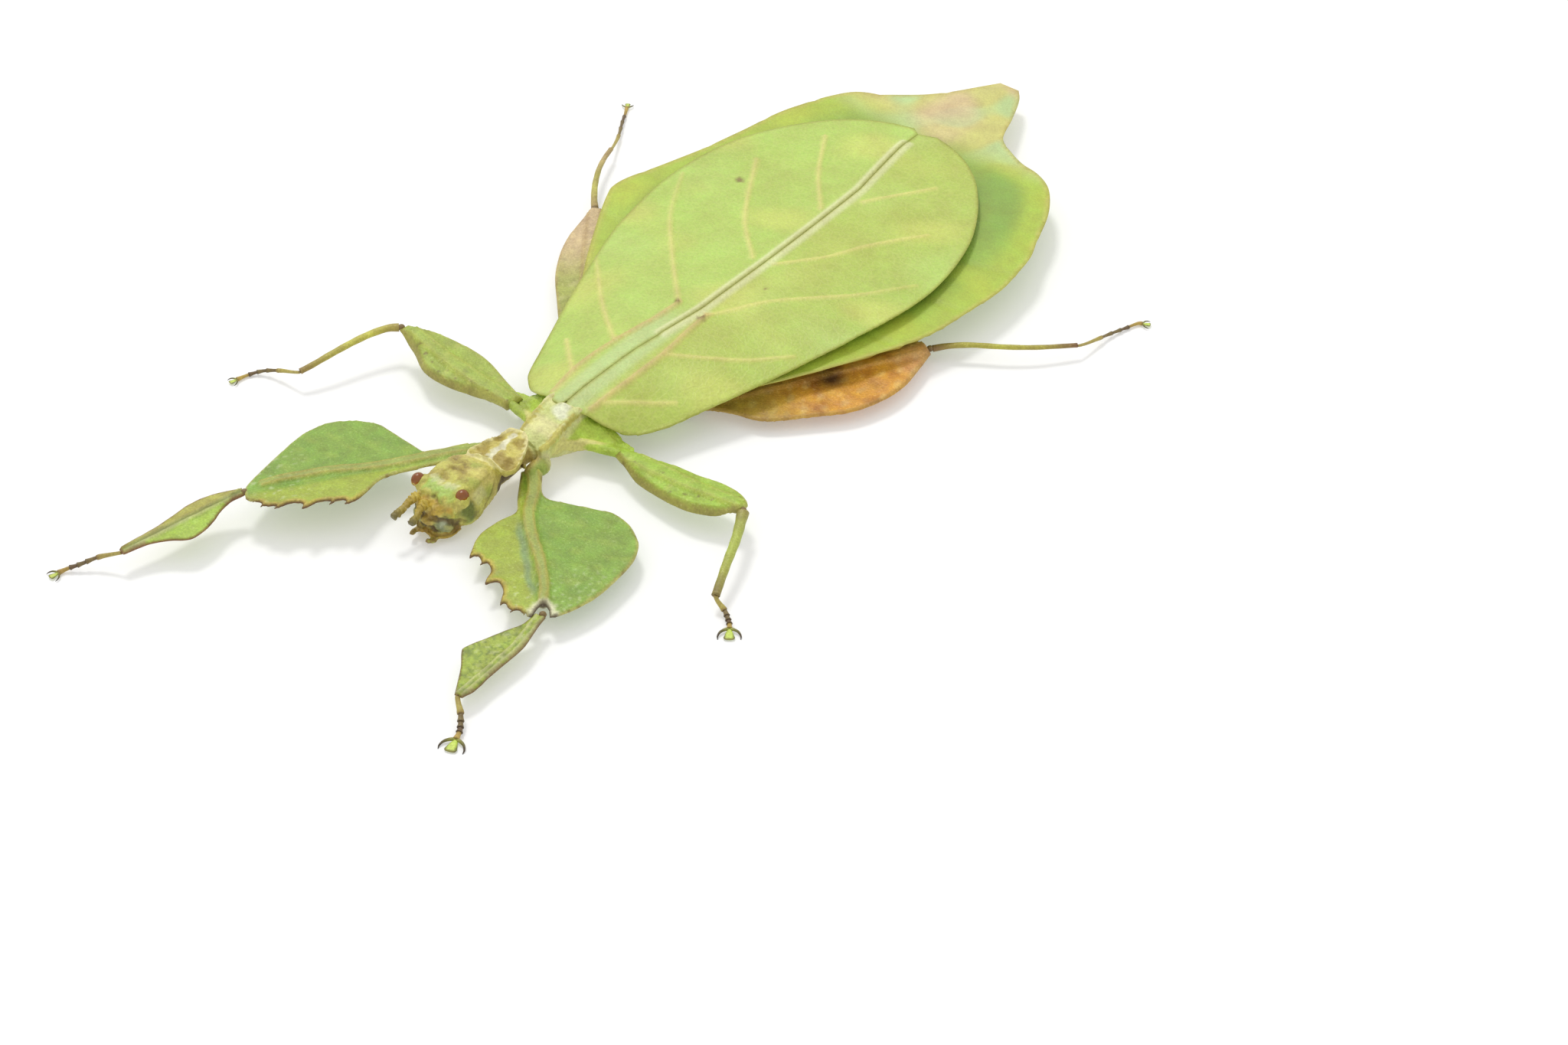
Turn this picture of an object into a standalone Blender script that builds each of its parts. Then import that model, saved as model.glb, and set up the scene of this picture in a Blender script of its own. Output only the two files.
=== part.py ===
"""Female leaf insect at life size, legs spread, resting on its belly and on its six feet.

The head points to -Y, the tail to +Y and the insect's own left side to +X. The floor is z = 0.
Sizes are in millimetres in this script; new_object turns them into metres.
"""

import bmesh
import bpy
import numpy as np
from mathutils.geometry import delaunay_2d_cdt

MM = 0.001
UP = np.array([0.0, 0.0, 1.0])
TAIL_WARD = np.array([0.0, 1.0, 0.0])
HEAD_WARD = -TAIL_WARD

# Clearance that neighbouring pieces keep, and the thickness of a leaf-like blade
GAP = 0.32
BLADE = 0.55

# The body from its brow to the tip of the tail, and the wings over it
WING_BASE_Y = 0.9
WING_TIP_Y = 53.6
TAIL_Y = 67.2
BODY_BEND = -0.9

# Name: colour, roughness
FINISHES = {
    "wing_green": ("#B5C46B", 0.50),
    "abdomen_green": ("#A9B94C", 0.50),
    "thorax_tan": ("#C6C07C", 0.60),
    "head_olive": ("#A9AA55", 0.60),
    "pronotum_tan": ("#B7A763", 0.60),
    "leg_green": ("#8FA843", 0.50),
    "shin_green": ("#A3AC56", 0.50),
    "dry_orange": ("#9C7333", 0.55),
    "foot_brown": ("#7A5A2C", 0.50),
    "feeler_tan": ("#B07B36", 0.60),
    "eye_brown": ("#6E3A1F", 0.15),
}


def clear_scene():
    for old in list(bpy.data.objects):
        bpy.data.objects.remove(old, do_unlink=True)


def linear(hex_colour):
    """An sRGB hex colour as the linear values that a shader takes."""
    channels = [int(hex_colour[i : i + 2], 16) / 255 for i in (1, 3, 5)]
    return [c / 12.92 if c <= 0.04045 else ((c + 0.055) / 1.055) ** 2.4 for c in channels]


def finish(name):
    found = bpy.data.materials.get(name)
    if found:
        return found
    colour, roughness = FINISHES[name]
    material = bpy.data.materials.new(name)
    material.use_nodes = True
    shader = material.node_tree.nodes["Principled BSDF"]
    shader.inputs["Base Color"].default_value = (*linear(colour), 1)
    shader.inputs["Roughness"].default_value = roughness
    shader.inputs["Metallic"].default_value = 0.0
    return material


def mesh_object(name, shape):
    """An object that holds the shape's points, still in millimetres, facing out."""
    points, faces = shape
    mesh = bpy.data.meshes.new(name)
    mesh.from_pydata([tuple(p) for p in points], [], [tuple(f) for f in faces])
    made = bpy.data.objects.new(name, mesh)
    bpy.context.scene.collection.objects.link(made)
    work = bmesh.new()
    work.from_mesh(mesh)
    bmesh.ops.triangulate(work, faces=work.faces[:])
    bmesh.ops.recalc_face_normals(work, faces=work.faces[:])
    work.to_mesh(mesh)
    work.free()
    return made


def keep_largest(mesh):
    """Leaves only the closed surface with the most faces."""
    work = bmesh.new()
    work.from_mesh(mesh)
    left = set(work.faces)
    shells = []
    while left:
        shell = set()
        edge_of_search = [left.pop()]
        while edge_of_search:
            face = edge_of_search.pop()
            shell.add(face)
            near = {other for edge in face.edges for other in edge.link_faces} & left
            left -= near
            edge_of_search.extend(near)
        shells.append(shell)
    shells.sort(key=len)
    extra = [face for shell in shells[:-1] for face in shell]
    bmesh.ops.delete(work, geom=extra, context="FACES")
    bmesh.ops.delete(work, geom=[v for v in work.verts if not v.link_faces], context="VERTS")
    work.to_mesh(mesh)
    work.free()


def fused(name, shapes):
    """One object from the first shape and all the others joined to it."""
    made = mesh_object(name, shapes[0])
    if len(shapes) == 1:
        return made
    group = bpy.data.collections.new(name + "_pieces")
    bpy.context.scene.collection.children.link(group)
    for number, shape in enumerate(shapes[1:]):
        piece = mesh_object(f"{name}_piece_{number}", shape)
        bpy.context.scene.collection.objects.unlink(piece)
        group.objects.link(piece)
    join = made.modifiers.new("join", "BOOLEAN")
    join.operation = "UNION"
    join.solver = "EXACT"
    join.operand_type = "COLLECTION"
    join.collection = group
    graph = bpy.context.evaluated_depsgraph_get()
    joined = bpy.data.meshes.new_from_object(made.evaluated_get(graph))
    made.modifiers.remove(join)
    made.data = joined
    for piece in list(group.objects):
        bpy.data.objects.remove(piece, do_unlink=True)
    bpy.data.collections.remove(group)
    keep_largest(joined)
    return made


def new_object(name, shapes, finish_name, origin, parent):
    """A named node in metres, with its origin where it grows from its neighbour."""
    made = fused(name, shapes)
    for vertex in made.data.vertices:
        vertex.co = [(c - o) * MM for c, o in zip(vertex.co, origin)]
    made.location = [c * MM for c in origin]
    made.data.materials.clear()
    made.data.materials.append(finish(finish_name))
    made.parent = parent
    return made


def unit(vector):
    return np.asarray(vector, float) / np.linalg.norm(vector)


def smooth(rows, steps):
    """Points of a smooth curve through the rows, with this many steps to each span."""
    rows = np.asarray(rows, float)
    ends = np.vstack([2 * rows[0] - rows[1], rows, 2 * rows[-1] - rows[-2]])
    found = []
    for a, b, c, d in zip(ends, ends[1:], ends[2:], ends[3:]):
        for t in np.arange(steps) / steps:
            bend = (2 * a - 5 * b + 4 * c - d) * t**2 + (3 * b - a - 3 * c + d) * t**3
            found.append((2 * b + (c - a) * t + bend) / 2)
    found.append(rows[-1])
    return np.array(found)


def loft(rows, sides=10, up=UP, floor=None, facing=None):
    """A closed skin over ellipses: each row is a centre, a half width and a half height.

    The ellipses stand across the path, or all face one way where facing is given.
    """
    rows = np.asarray(rows, float)
    centres = rows[:, :3]
    along = np.gradient(centres, axis=0)
    turns = np.arange(sides) * 2 * np.pi / sides
    points = []
    for centre, direction, half_width, half_height in zip(centres, along, rows[:, 3], rows[:, 4]):
        forward = unit(direction if facing is None else facing)
        across = unit(np.cross(forward, up))
        upward = np.cross(across, forward)
        for turn in turns:
            sideways = across * half_width * np.cos(turn)
            points.append(centre + sideways + upward * half_height * np.sin(turn))
    faces = []
    for ring in range(len(rows) - 1):
        for side in range(sides):
            a = ring * sides + side
            b = ring * sides + (side + 1) % sides
            faces.append((a, b, b + sides, a + sides))
    faces.append(tuple(range(sides)))
    last = (len(rows) - 1) * sides
    faces.append(tuple(last + side for side in reversed(range(sides))))
    points = np.array(points)
    if floor is not None:
        points[:, 2] = np.maximum(points[:, 2], floor)
    return points, faces


def inside(points, ring):
    """Whether each point lies inside the closed ring."""
    found = np.zeros(len(points), bool)
    x, y = points[:, 0], points[:, 1]
    for (ax, ay), (bx, by) in zip(ring, np.roll(ring, -1, axis=0)):
        if ay == by:
            continue
        crosses = (ay > y) != (by > y)
        found ^= crosses & (x < (bx - ax) * (y - ay) / (by - ay) + ax)
    return found


def distance(points, line):
    """Each point's distance to the nearest stretch of a line."""
    points = np.asarray(points, float)
    nearest = np.full(len(points), np.inf)
    for a, b in zip(line[:-1], line[1:]):
        span = b - a
        share = np.clip((points - a) @ span / max(span @ span, 1e-9), 0, 1)
        gap = np.linalg.norm(points - a - share[:, None] * span, axis=1)
        nearest = np.minimum(nearest, gap)
    return nearest


def lattice(ring, lines, step):
    """Evenly spread points inside the ring, clear of it and of the lines."""
    low, high = ring.min(axis=0), ring.max(axis=0)
    found = []
    for number, y in enumerate(np.arange(low[1], high[1], step * 0.87)):
        start = low[0] + (number % 2) * step / 2
        found += [(x, y) for x in np.arange(start, high[0], step)]
    found = np.array(found)
    found = found[inside(found, ring)]
    for line in [np.vstack([ring, ring[:1]]), *lines]:
        found = found[distance(found, line) > step * 0.45]
    return found


def plate(ring, lines, step, heights):
    """A solid between two height fields, both cut into the same triangles.

    heights(points) gives the upper and the lower height at each point of the ring's plane.
    """
    ring = np.asarray(ring, float)
    lines = [np.asarray(line, float) for line in lines]
    points = [ring, *lines, lattice(ring, lines, step)]
    edges = []
    count = len(ring)
    for line in lines:
        edges += [(count + i, count + i + 1) for i in range(len(line) - 1)]
        count += len(line)
    flat = np.vstack([group for group in points if len(group)])
    result = delaunay_2d_cdt(
        [tuple(p) for p in flat], edges, [list(range(len(ring)))], 1, 1e-4
    )
    flat = np.array([tuple(v) for v in result[0]])
    faces = [list(f) for f in result[2]]
    faces = [turned_up(face, flat) for face in faces]
    top, bottom = heights(flat)
    rim = {(a, b) for f in faces for a, b in zip(f, f[1:] + f[:1])}
    rim = [(a, b) for a, b in rim if (b, a) not in rim]
    size = len(flat)
    under = [tuple(i + size for i in reversed(face)) for face in faces]
    sides = [(b, a, a + size) for a, b in rim] + [(b, a + size, b + size) for a, b in rim]
    upper = np.column_stack([flat, top])
    lower = np.column_stack([flat, bottom])
    return np.vstack([upper, lower]), [tuple(f) for f in faces] + under + sides


def turned_up(face, flat):
    a, b, c = (flat[i] for i in face[:3])
    area = (b[0] - a[0]) * (c[1] - a[1]) - (b[1] - a[1]) * (c[0] - a[0])
    return face if area > 0 else face[::-1]


def ridge(points, line, half_width, height):
    """Height of a ridge that follows a line and falls to nothing at its half width."""
    return height * np.clip(1 - distance(points, line) / half_width, 0, 1)


def beside(line, offset):
    """The line moved sideways by the offset."""
    line = np.asarray(line, float)
    along = np.gradient(line, axis=0)
    normal = np.column_stack([-along[:, 1], along[:, 0]])
    normal /= np.linalg.norm(normal, axis=1)[:, None]
    return line + normal * offset


def bend(y):
    """How far the dried body's middle line has drawn to one side."""
    share = np.clip((np.asarray(y, float) - 26) / 26, 0, 1)
    return BODY_BEND * share * share * (3 - 2 * share)


def seam(y):
    """How far the line where the wings meet lies to the left of the middle."""
    return np.interp(y, [0, 10, 18, 42, 50, 54], [0.0, 0.2, 1.0, 0.8, -0.3, -0.5])


# Abdomen

ABDOMEN_LEFT = (
    (2.6, 3.2), (6.0, 4.8), (10.0, 7.2), (15.0, 10.6), (20.0, 13.7), (25.0, 16.0), (28.6, 17.4),
    (31.8, 18.2), (37.6, 19.0), (40.8, 18.9), (43.9, 18.5), (46.5, 17.5), (49.9, 16.3),
    (52.4, 14.9), (54.4, 13.2), (55.6, 11.2), (56.2, 9.1), (57.4, 6.8), (58.7, 5.2),
    (61.9, 3.9), (65.4, 2.3), (66.9, 1.2),
)
ABDOMEN_RIGHT = (
    (2.6, 3.2), (6.0, 4.8), (10.0, 7.2), (15.0, 10.6), (20.0, 13.7), (25.0, 16.6), (28.4, 18.3),
    (29.9, 18.8), (31.8, 18.6), (34.7, 17.5), (37.3, 16.6), (40.5, 15.5), (44.2, 14.6),
    (48.1, 13.9), (51.4, 12.7), (54.5, 11.6), (56.6, 10.3), (58.0, 7.8), (60.4, 5.2),
    (62.7, 3.5), (65.3, 2.0), (67.0, 1.0),
)
BELLY_HALF_WIDTH = 3.7
ABDOMEN_EDGE_Z = 2.6


def abdomen():
    left = [(x + bend(y), y) for y, x in ABDOMEN_LEFT]
    right = [(bend(y) - x, y) for y, x in ABDOMEN_RIGHT]
    ring = np.vstack([smooth(left, 2), smooth(right[::-1], 2)])
    y_rows = np.linspace(3.2, TAIL_Y - 1.5, 26)
    middle = np.column_stack([bend(y_rows), y_rows])
    inner = y_rows < 59
    lines = [middle]
    for offset in (-BELLY_HALF_WIDTH, -2.6, -1.3, 1.3, 2.6, BELLY_HALF_WIDTH):
        lines.append(middle[inner] + [offset, 0])
    shape = plate(ring, lines, 2.6, abdomen_heights)
    return [shape]


def abdomen_heights(points):
    x, y = points[:, 0] - bend(points[:, 1]), points[:, 1]
    width = np.where(
        x > 0, np.interp(y, *zip(*ABDOMEN_LEFT)), np.interp(y, *zip(*ABDOMEN_RIGHT))
    )
    out = np.clip(np.abs(x) / width, 0, 1)
    crown = np.interp(y, [2, 10, 20, 30, 40, 50, 60, 67], [3.9, 4.0, 3.9, 3.7, 3.4, 3.1, 2.9, 2.4])
    edge = np.interp(y, [2, 30, 50, 56, 67], [ABDOMEN_EDGE_Z, 2.6, 2.6, 2.3, 1.6]) + BLADE
    top = crown + (edge - crown) * out**1.3
    top = np.minimum(top, wing_plain(points) - BLADE - GAP)
    belly = np.interp(y, [2, 5, 52, 60, 67], [0.6, -0.5, -0.5, 1.2, 1.7])
    half = np.interp(y, [2, 8, 50, 60, 67], [2.6, BELLY_HALF_WIDTH, BELLY_HALF_WIDTH, 2.6, 1.2])
    swell = np.sqrt(np.clip(1 - (x / half) ** 2, 0, 1))
    under = top - BLADE
    bottom = np.maximum(under + (belly - under) * swell, 0.0)
    return top, np.minimum(bottom, top - BLADE)


# Wings

WING_HALF_WIDTH = (
    (2.0, 5.2), (4.3, 6.8), (9.4, 9.0), (14.4, 10.8), (18.9, 12.2), (23.0, 13.4), (27.5, 14.3),
    (31.4, 14.8), (34.6, 14.8), (38.3, 14.3), (42.0, 13.3), (45.5, 11.6), (48.3, 9.7),
    (50.4, 7.8), (52.1, 5.5), (53.1, 3.3),
)
VEIN_HALF_WIDTH = 0.42
VEIN_HEIGHT = 0.28
LEFT_VEINS = (
    ((2.1, 1.4), (2.4, 5.5), (2.5, 10.5), (2.1, 14.5), (1.9, 17.4)),
    ((2.6, 2.9), (6.6, 7.4)),
    ((2.6, 10.9), (7.2, 14.4), (10.9, 18.3)),
    ((1.9, 17.4), (5.4, 23.3), (10.0, 28.4), (13.2, 33.0)),
    ((1.6, 27.2), (4.5, 31.2), (6.4, 35.3), (9.3, 40.0)),
    ((1.6, 40.5), (5.4, 46.5)),
)
RIGHT_VEINS = (
    ((-2.1, 1.4), (-2.4, 5.8), (-2.1, 9.5), (-1.4, 13.9), (-1.2, 17.5)),
    ((-2.6, 4.6), (-6.5, 8.5)),
    ((-2.3, 9.9), (-7.0, 14.0), (-12.2, 19.4)),
    ((-1.2, 17.5), (-6.0, 22.6), (-11.0, 28.5), (-14.3, 34.4)),
    ((-0.4, 27.0), (-5.0, 31.7), (-10.4, 40.3)),
    ((-0.6, 37.2), (-4.4, 41.8), (-7.8, 47.3)),
)


def wing(side):
    """One fore wing: side is 1 for the insect's left and -1 for its right."""
    outer = [(side * x + bend(y), y) for y, x in WING_HALF_WIDTH]
    tip_y = np.array([WING_TIP_Y])
    inner_y = np.linspace(WING_TIP_Y - 0.7, WING_BASE_Y, 16)
    inner = np.column_stack([bend(inner_y) + seam(inner_y) + side * GAP / 2, inner_y])
    base = [(side * 1.6, 0.8), (side * 3.8, 1.1)]
    tip = [(float(bend(tip_y)[0]) + side * 1.3, WING_TIP_Y)]
    ring = np.vstack([base, smooth(outer, 2), tip, inner])
    veins = [smooth(vein, 2) for vein in (LEFT_VEINS if side > 0 else RIGHT_VEINS)]
    rib_y = np.linspace(18.5, 51.0, 10)
    veins.append(np.column_stack([bend(rib_y) + seam(rib_y) + side * (GAP / 2 + 0.35), rib_y]))
    lines = []
    for vein in veins:
        lines += [vein, beside(vein, VEIN_HALF_WIDTH), beside(vein, -VEIN_HALF_WIDTH)]
    lines = [clear_of(line, ring) for line in lines]
    lines = [line for line in lines if len(line) > 1]

    def heights(points):
        plain = wing_plain(points)
        raised = np.zeros(len(points))
        for vein in veins:
            raised = np.maximum(raised, ridge(points, vein, VEIN_HALF_WIDTH, VEIN_HEIGHT))
        return plain + raised, plain - BLADE

    return [plate(ring, lines, 3.0, heights)]


def clear_of(line, ring):
    """The points of the line that keep a little inside the ring."""
    closed = np.vstack([ring, ring[:1]])
    return line[inside(line, ring) & (distance(line, closed) > 0.12)]


def wing_plain(points):
    """Upper height of a wing without its veins."""
    x, y = np.abs(points[:, 0] - bend(points[:, 1])), points[:, 1]
    width = np.interp(y, *zip(*WING_HALF_WIDTH))
    crown = np.interp(y, [0, 8, 20, 30, 40, 54], [4.8, 5.0, 4.9, 4.7, 4.3, 3.9])
    edge = np.interp(y, [0, 6, 15, 24, 40, 54], [2.6, 2.7, 3.5, 4.2, 4.1, 3.9])
    return crown + (edge - crown) * np.clip(x / width, 0, 1) ** 1.8


# Thorax and head

def thorax():
    back = [
        (-0.2, -4.2, 3.4, 1.2, 1.1),
        (-0.1, -3.7, 3.5, 1.8, 1.5),
        (0.0, -1.5, 3.5, 2.2, 1.7),
        (0.0, 0.0, 3.4, 2.4, 1.7),
        (0.0, 0.48, 3.2, 2.1, 1.3),
    ]
    breast = [
        (0.0, -4.0, 1.7, 1.0, 1.2),
        (0.0, -3.2, 1.6, 1.6, 1.8),
        (0.0, -1.2, 1.6, 2.1, 2.1),
        (0.0, 0.6, 1.5, 2.4, 2.0),
        (0.0, 1.6, 1.4, 2.2, 1.75),
        (0.0, 2.1, 1.3, 1.7, 1.4),
    ]
    return [
        loft(smooth(breast, 2), 16, floor=0.0, facing=TAIL_WARD),
        loft(smooth(back, 2), 16, facing=TAIL_WARD),
        coxa_plate(1, 5.55),
        coxa_plate(-1, 4.6),
    ]


COXA_PLATE = (
    (0.8, -3.9), (1.5, -3.9), (1.75, -2.7), (2.8, -1.0), (4.1, -0.12), (5.6, 0.4), (5.6, 1.5),
    (0.8, 2.0),
)
COXA_THICKNESS = 0.65


def coxa_plate(side, reach):
    """The membrane that runs from the thorax out to a middle leg, up to this far from the middle."""
    ring = np.array([(side * min(x, reach), y) for x, y in COXA_PLATE])

    def heights(points):
        out = np.abs(points[:, 0])
        top = np.interp(out, [1.2, 2.2, 4.0, 6.0], [3.1, 2.7, 2.5, 2.35])
        top = np.minimum(top, wing_plain(points) - BLADE - GAP - 0.05)
        return top, top - COXA_THICKNESS

    return plate(ring, [], 0.9, heights)


PRONOTUM_RING = (
    (-1.2, -4.75), (0.0, -4.75), (1.05, -5.4), (1.75, -6.6), (2.2, -7.9), (2.35, -8.8), (1.9, -9.4),
    (0.3, -9.4), (-1.7, -9.4), (-2.3, -9.0), (-2.15, -8.0), (-1.7, -6.4),
)
PRONOTUM_THICKNESS = 1.05
RIM_WIDTH = 0.5
FURROW = ((-0.25, -5.6), (-0.2, -7.0), (-0.15, -9.0))
CROSS_FURROW = ((-1.3, -7.4), (-0.2, -7.1), (1.1, -7.5))


def pronotum():
    breast = [
        (-0.5, -4.8, 2.2, 0.5, 0.9),
        (-0.5, -5.3, 2.25, 0.8, 1.7),
        (-0.5, -7.0, 2.35, 0.85, 1.8),
        (-0.5, -8.8, 2.45, 0.9, 1.7),
        (-0.5, -9.3, 2.4, 0.6, 0.9),
    ]
    ring = smooth(PRONOTUM_RING + PRONOTUM_RING[:1], 2)[:-1]
    closed = np.vstack([ring, ring[:1]])
    furrows = [smooth(FURROW, 2), smooth(CROSS_FURROW, 2)]

    def heights(points):
        crown = 4.9 - 0.12 * (points[:, 0] + 0.1) ** 2
        rim = 0.2 * np.clip(1 - distance(points, closed) / RIM_WIDTH, 0, 1)
        for furrow in furrows:
            crown -= ridge(points, furrow, 0.4, 0.25)
        return crown + rim, crown - PRONOTUM_THICKNESS

    return [plate(ring, furrows, 0.7, heights), loft(smooth(breast, 2), 12, facing=HEAD_WARD)]


HEAD_ROWS = (
    (-0.2, -9.8, 2.9, 1.6, 1.4),
    (-0.6, -10.2, 2.8, 2.1, 1.85),
    (-0.8, -11.2, 2.65, 2.5, 2.1),
    (-0.88, -12.6, 2.55, 2.62, 2.15),
    (-0.92, -13.8, 2.5, 2.5, 2.1),
    (-0.95, -14.8, 2.35, 2.3, 1.95),
    (-0.95, -15.6, 2.2, 1.9, 1.6),
    (-0.9, -16.2, 2.1, 1.2, 1.0),
)
HEAD_MIDDLE_X = -0.85


def head():
    skull = loft(smooth(HEAD_ROWS, 2), 18, facing=HEAD_WARD)
    lobes = []
    for side in (1, -1):
        # Brow bump, socket of the feeler, jaw and cheek
        lobes.append(lobe((HEAD_MIDDLE_X + side * 0.7, -15.0, 3.7), (0.75, 0.9, 0.4)))
        lobes.append(lobe((HEAD_MIDDLE_X + side * 0.95, -15.85, 3.0), (0.55, 0.5, 0.5)))
        lobes.append(lobe((HEAD_MIDDLE_X + side * 1.35, -15.5, 1.55), (0.95, 1.15, 0.95)))
        lobes.append(lobe((HEAD_MIDDLE_X + side * 1.55, -13.4, 1.7), (1.15, 1.6, 1.35)))
        lobes.append(palp(side))
    # Upper and lower lip
    lobes.append(lobe((HEAD_MIDDLE_X, -16.75, 1.95), (0.85, 0.5, 0.45)))
    lobes.append(lobe((HEAD_MIDDLE_X + 0.3, -15.9, 0.75), (1.45, 0.95, 0.5)))
    return [skull, *lobes]


def palp(side):
    x = HEAD_MIDDLE_X + side * 0.75
    path = [(x, -15.8, 0.9), (x + side * 0.3, -16.6, 0.75), (x + side * 0.1, -17.2, 0.95)]
    rows = [(*point, 0.3, 0.28) for point in smooth(path, 2)]
    return loft(rows, 6)


def lobe(centre, radii, sides=10, rings=6):
    """A closed egg shape about its centre, with radii along X, Y and Z."""
    points, faces = ball((0, 0, 0), 1.0, sides, rings)
    return np.array(centre) + points * np.array(radii), faces


# Eyes stand a little off the head, so that each is a solid of its own
EYES = {1: (1.63, -14.05, 4.43), -1: (-3.47, -14.4, 4.43)}
EYE_RADII = (0.5, 0.55, 0.55)


def eye(side):
    return [lobe(EYES[side], EYE_RADII)]


def ball(centre, radius, sides=10, rings=6):
    turns = np.linspace(0.12, np.pi - 0.12, rings)
    rows = []
    for turn in turns:
        across = radius * np.sin(turn)
        rows.append((centre[0] - radius * np.cos(turn), centre[1], centre[2], across, across))
    return loft(rows, sides)


# Middle lines of the short feelers, from the socket to the tip
ANTENNAE = {
    1: ((-0.95, -16.75, 3.25), (-1.0, -17.2, 3.1), (-0.95, -17.8, 2.95), (-0.9, -18.4, 2.85)),
    -1: ((-2.35, -16.65, 3.2), (-2.35, -17.3, 3.1), (-2.45, -18.0, 2.9), (-2.65, -18.7, 2.75)),
}
ANTENNA_SEGMENTS = 7
ANTENNA_RADIUS = 0.3


def antenna(side):
    """A feeler whose segments each widen towards the tip, the first of them the stoutest."""
    path = smooth(ANTENNAE[side], 8)
    rows = []
    for segment in range(ANTENNA_SEGMENTS):
        stout = 1.35 if segment == 0 else 0.95 + 0.12 * segment / ANTENNA_SEGMENTS
        for share, width in ((0.06, 0.84), (0.7, 1.0), (0.92, 1.0)):
            radius = ANTENNA_RADIUS * width * stout
            rows.append((*point_at(path, (segment + share) / ANTENNA_SEGMENTS), radius, radius))
    return [loft(rows, 8)]


def point_at(path, share):
    """The point at this share of the path's length."""
    lengths = np.linalg.norm(np.diff(path, axis=0), axis=1)
    reached = np.concatenate([[0], np.cumsum(lengths)]) / lengths.sum()
    return [float(np.interp(share, reached, path[:, axis])) for axis in range(3)]


# Legs

# Outlines run from the base of a leg piece to its far end: how far along, then how far out.
# A tooth also says how deep the bay behind it is.
FORE_FEMUR = {
    "length": 18.8,
    "rear": (
        (0.0, 0.9), (3.4, 0.8), (4.7, 2.8), (5.8, 5.2), (6.5, 6.5), (8.1, 7.6), (10.0, 8.1),
        (11.2, 8.1), (13.0, 7.5), (15.0, 6.1), (17.1, 4.3), (18.2, 2.4), (18.8, 0.8),
    ),
    "front": (
        (0.0, 0.9), (3.4, 1.4), (5.3, 1.6), (6.2, 2.8), (6.9, 3.7), (7.8, 4.6), (8.8, 5.15),
        (9.9, 5.5), (10.6, 5.7),
    ),
    "teeth": (
        (11.0, 5.75, 0.9), (12.0, 4.95, 0.85), (14.55, 4.65, 1.4), (17.35, 3.6, 0.6), (18.3, 2.85, 0.95),
        (18.75, 1.8, 0.3),
    ),
    "shaft": ((0.3, 0.1), (3.0, 0.0), (5.9, -0.6), (9.0, -0.5), (11.7, -0.1), (15.2, 0.1), (18.3, 0.0)),
    "shaft_radius": 0.6,
}
FORE_FEMUR_RIGHT = {
    **FORE_FEMUR,
    "front": ((0.0, 0.9), (5.0, 1.3), (7.3, 1.6), (8.5, 2.2), (9.6, 3.4), (10.6, 4.4), (11.3, 4.75)),
    "teeth": (
        (11.8, 4.8, 0.8), (13.0, 4.4, 0.7), (15.2, 4.3, 1.2), (17.3, 3.5, 0.6), (18.3, 2.8, 0.95),
        (18.75, 1.8, 0.3),
    ),
}
MID_FEMUR = {
    "length": 13.4,
    "rear": (
        (0.0, 0.8), (1.9, 0.9), (4.9, 1.4), (7.6, 1.5), (9.7, 1.75), (11.5, 1.6), (12.8, 1.1),
        (13.4, 0.6),
    ),
    "front": (
        (0.0, 0.9), (1.6, 1.3), (3.6, 1.85), (6.0, 2.2), (8.0, 2.35), (9.8, 2.2), (12.1, 1.3),
        (13.4, 0.5),
    ),
    "teeth": (),
    "shaft": ((0.3, 0.0), (7.0, -0.2), (13.2, 0.1)),
    "shaft_radius": 0.65,
}
MID_FEMUR_RIGHT = {
    **MID_FEMUR,
    "length": 14.3,
    "rear": ((0.0, 1.2), (3.0, 1.8), (5.7, 2.4), (8.3, 2.4), (11.7, 1.7), (13.4, 0.9), (14.3, 0.5)),
    "front": ((0.0, 0.6), (3.1, 1.1), (6.1, 2.1), (8.9, 2.3), (11.6, 1.2), (14.3, 0.5)),
}
HIND_FEMUR = {
    **MID_FEMUR,
    "length": 20.1,
    "front": (
        (0.0, 0.9), (2.0, 2.6), (4.1, 4.7), (7.9, 5.7), (11.2, 6.3), (14.2, 5.7), (16.4, 4.5),
        (18.2, 2.8), (20.1, 0.8),
    ),
    "rear": (
        (0.0, 0.9), (4.0, 1.0), (9.0, 1.6), (13.8, 2.4), (17.0, 2.2), (19.4, 1.6), (20.1, 0.8),
    ),
    "shaft": ((0.3, 0.0), (10.0, 0.0), (19.8, 0.0)),
    "shaft_radius": 0.8,
}
FORE_TIBIA = {
    "length": 11.2,
    "rear": (
        (-0.1, 0.5), (0.9, 0.6), (2.0, 0.8), (3.9, 1.1), (6.3, 0.95), (8.2, 0.8), (9.4, 0.8),
        (10.3, 0.7),
        (11.2, 0.35),
    ),
    "front": (
        (-0.1, 0.5), (1.4, 0.6), (3.0, 1.4), (4.6, 2.2), (6.2, 2.95), (6.9, 2.8), (8.2, 1.9), (9.7, 1.1),
        (11.2, 0.35),
    ),
    "teeth": (),
    "shaft": ((0.1, 0.1), (3.9, 0.5), (7.0, 0.35), (11.0, 0.05)),
    "shaft_radius": 0.38,
}
FORE_TIBIA_RIGHT = {
    **FORE_TIBIA,
    "length": 11.4,
    "rear": ((-0.3, 0.5), (2.0, 1.2), (4.8, 1.15), (7.0, 0.9), (9.2, 0.8), (10.6, 0.75), (11.4, 0.45)),
    "front": (
        (-0.1, 0.4), (1.2, 0.3), (2.5, 0.6), (3.6, 1.1), (4.7, 1.5), (6.0, 1.65), (6.9, 1.4), (8.0, 0.8),
        (9.3, 0.45), (10.6, 0.4), (11.4, 0.4),
    ),
    "shaft": ((0.1, 0.0), (4.0, 0.1), (11.2, 0.1)),
}
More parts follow.
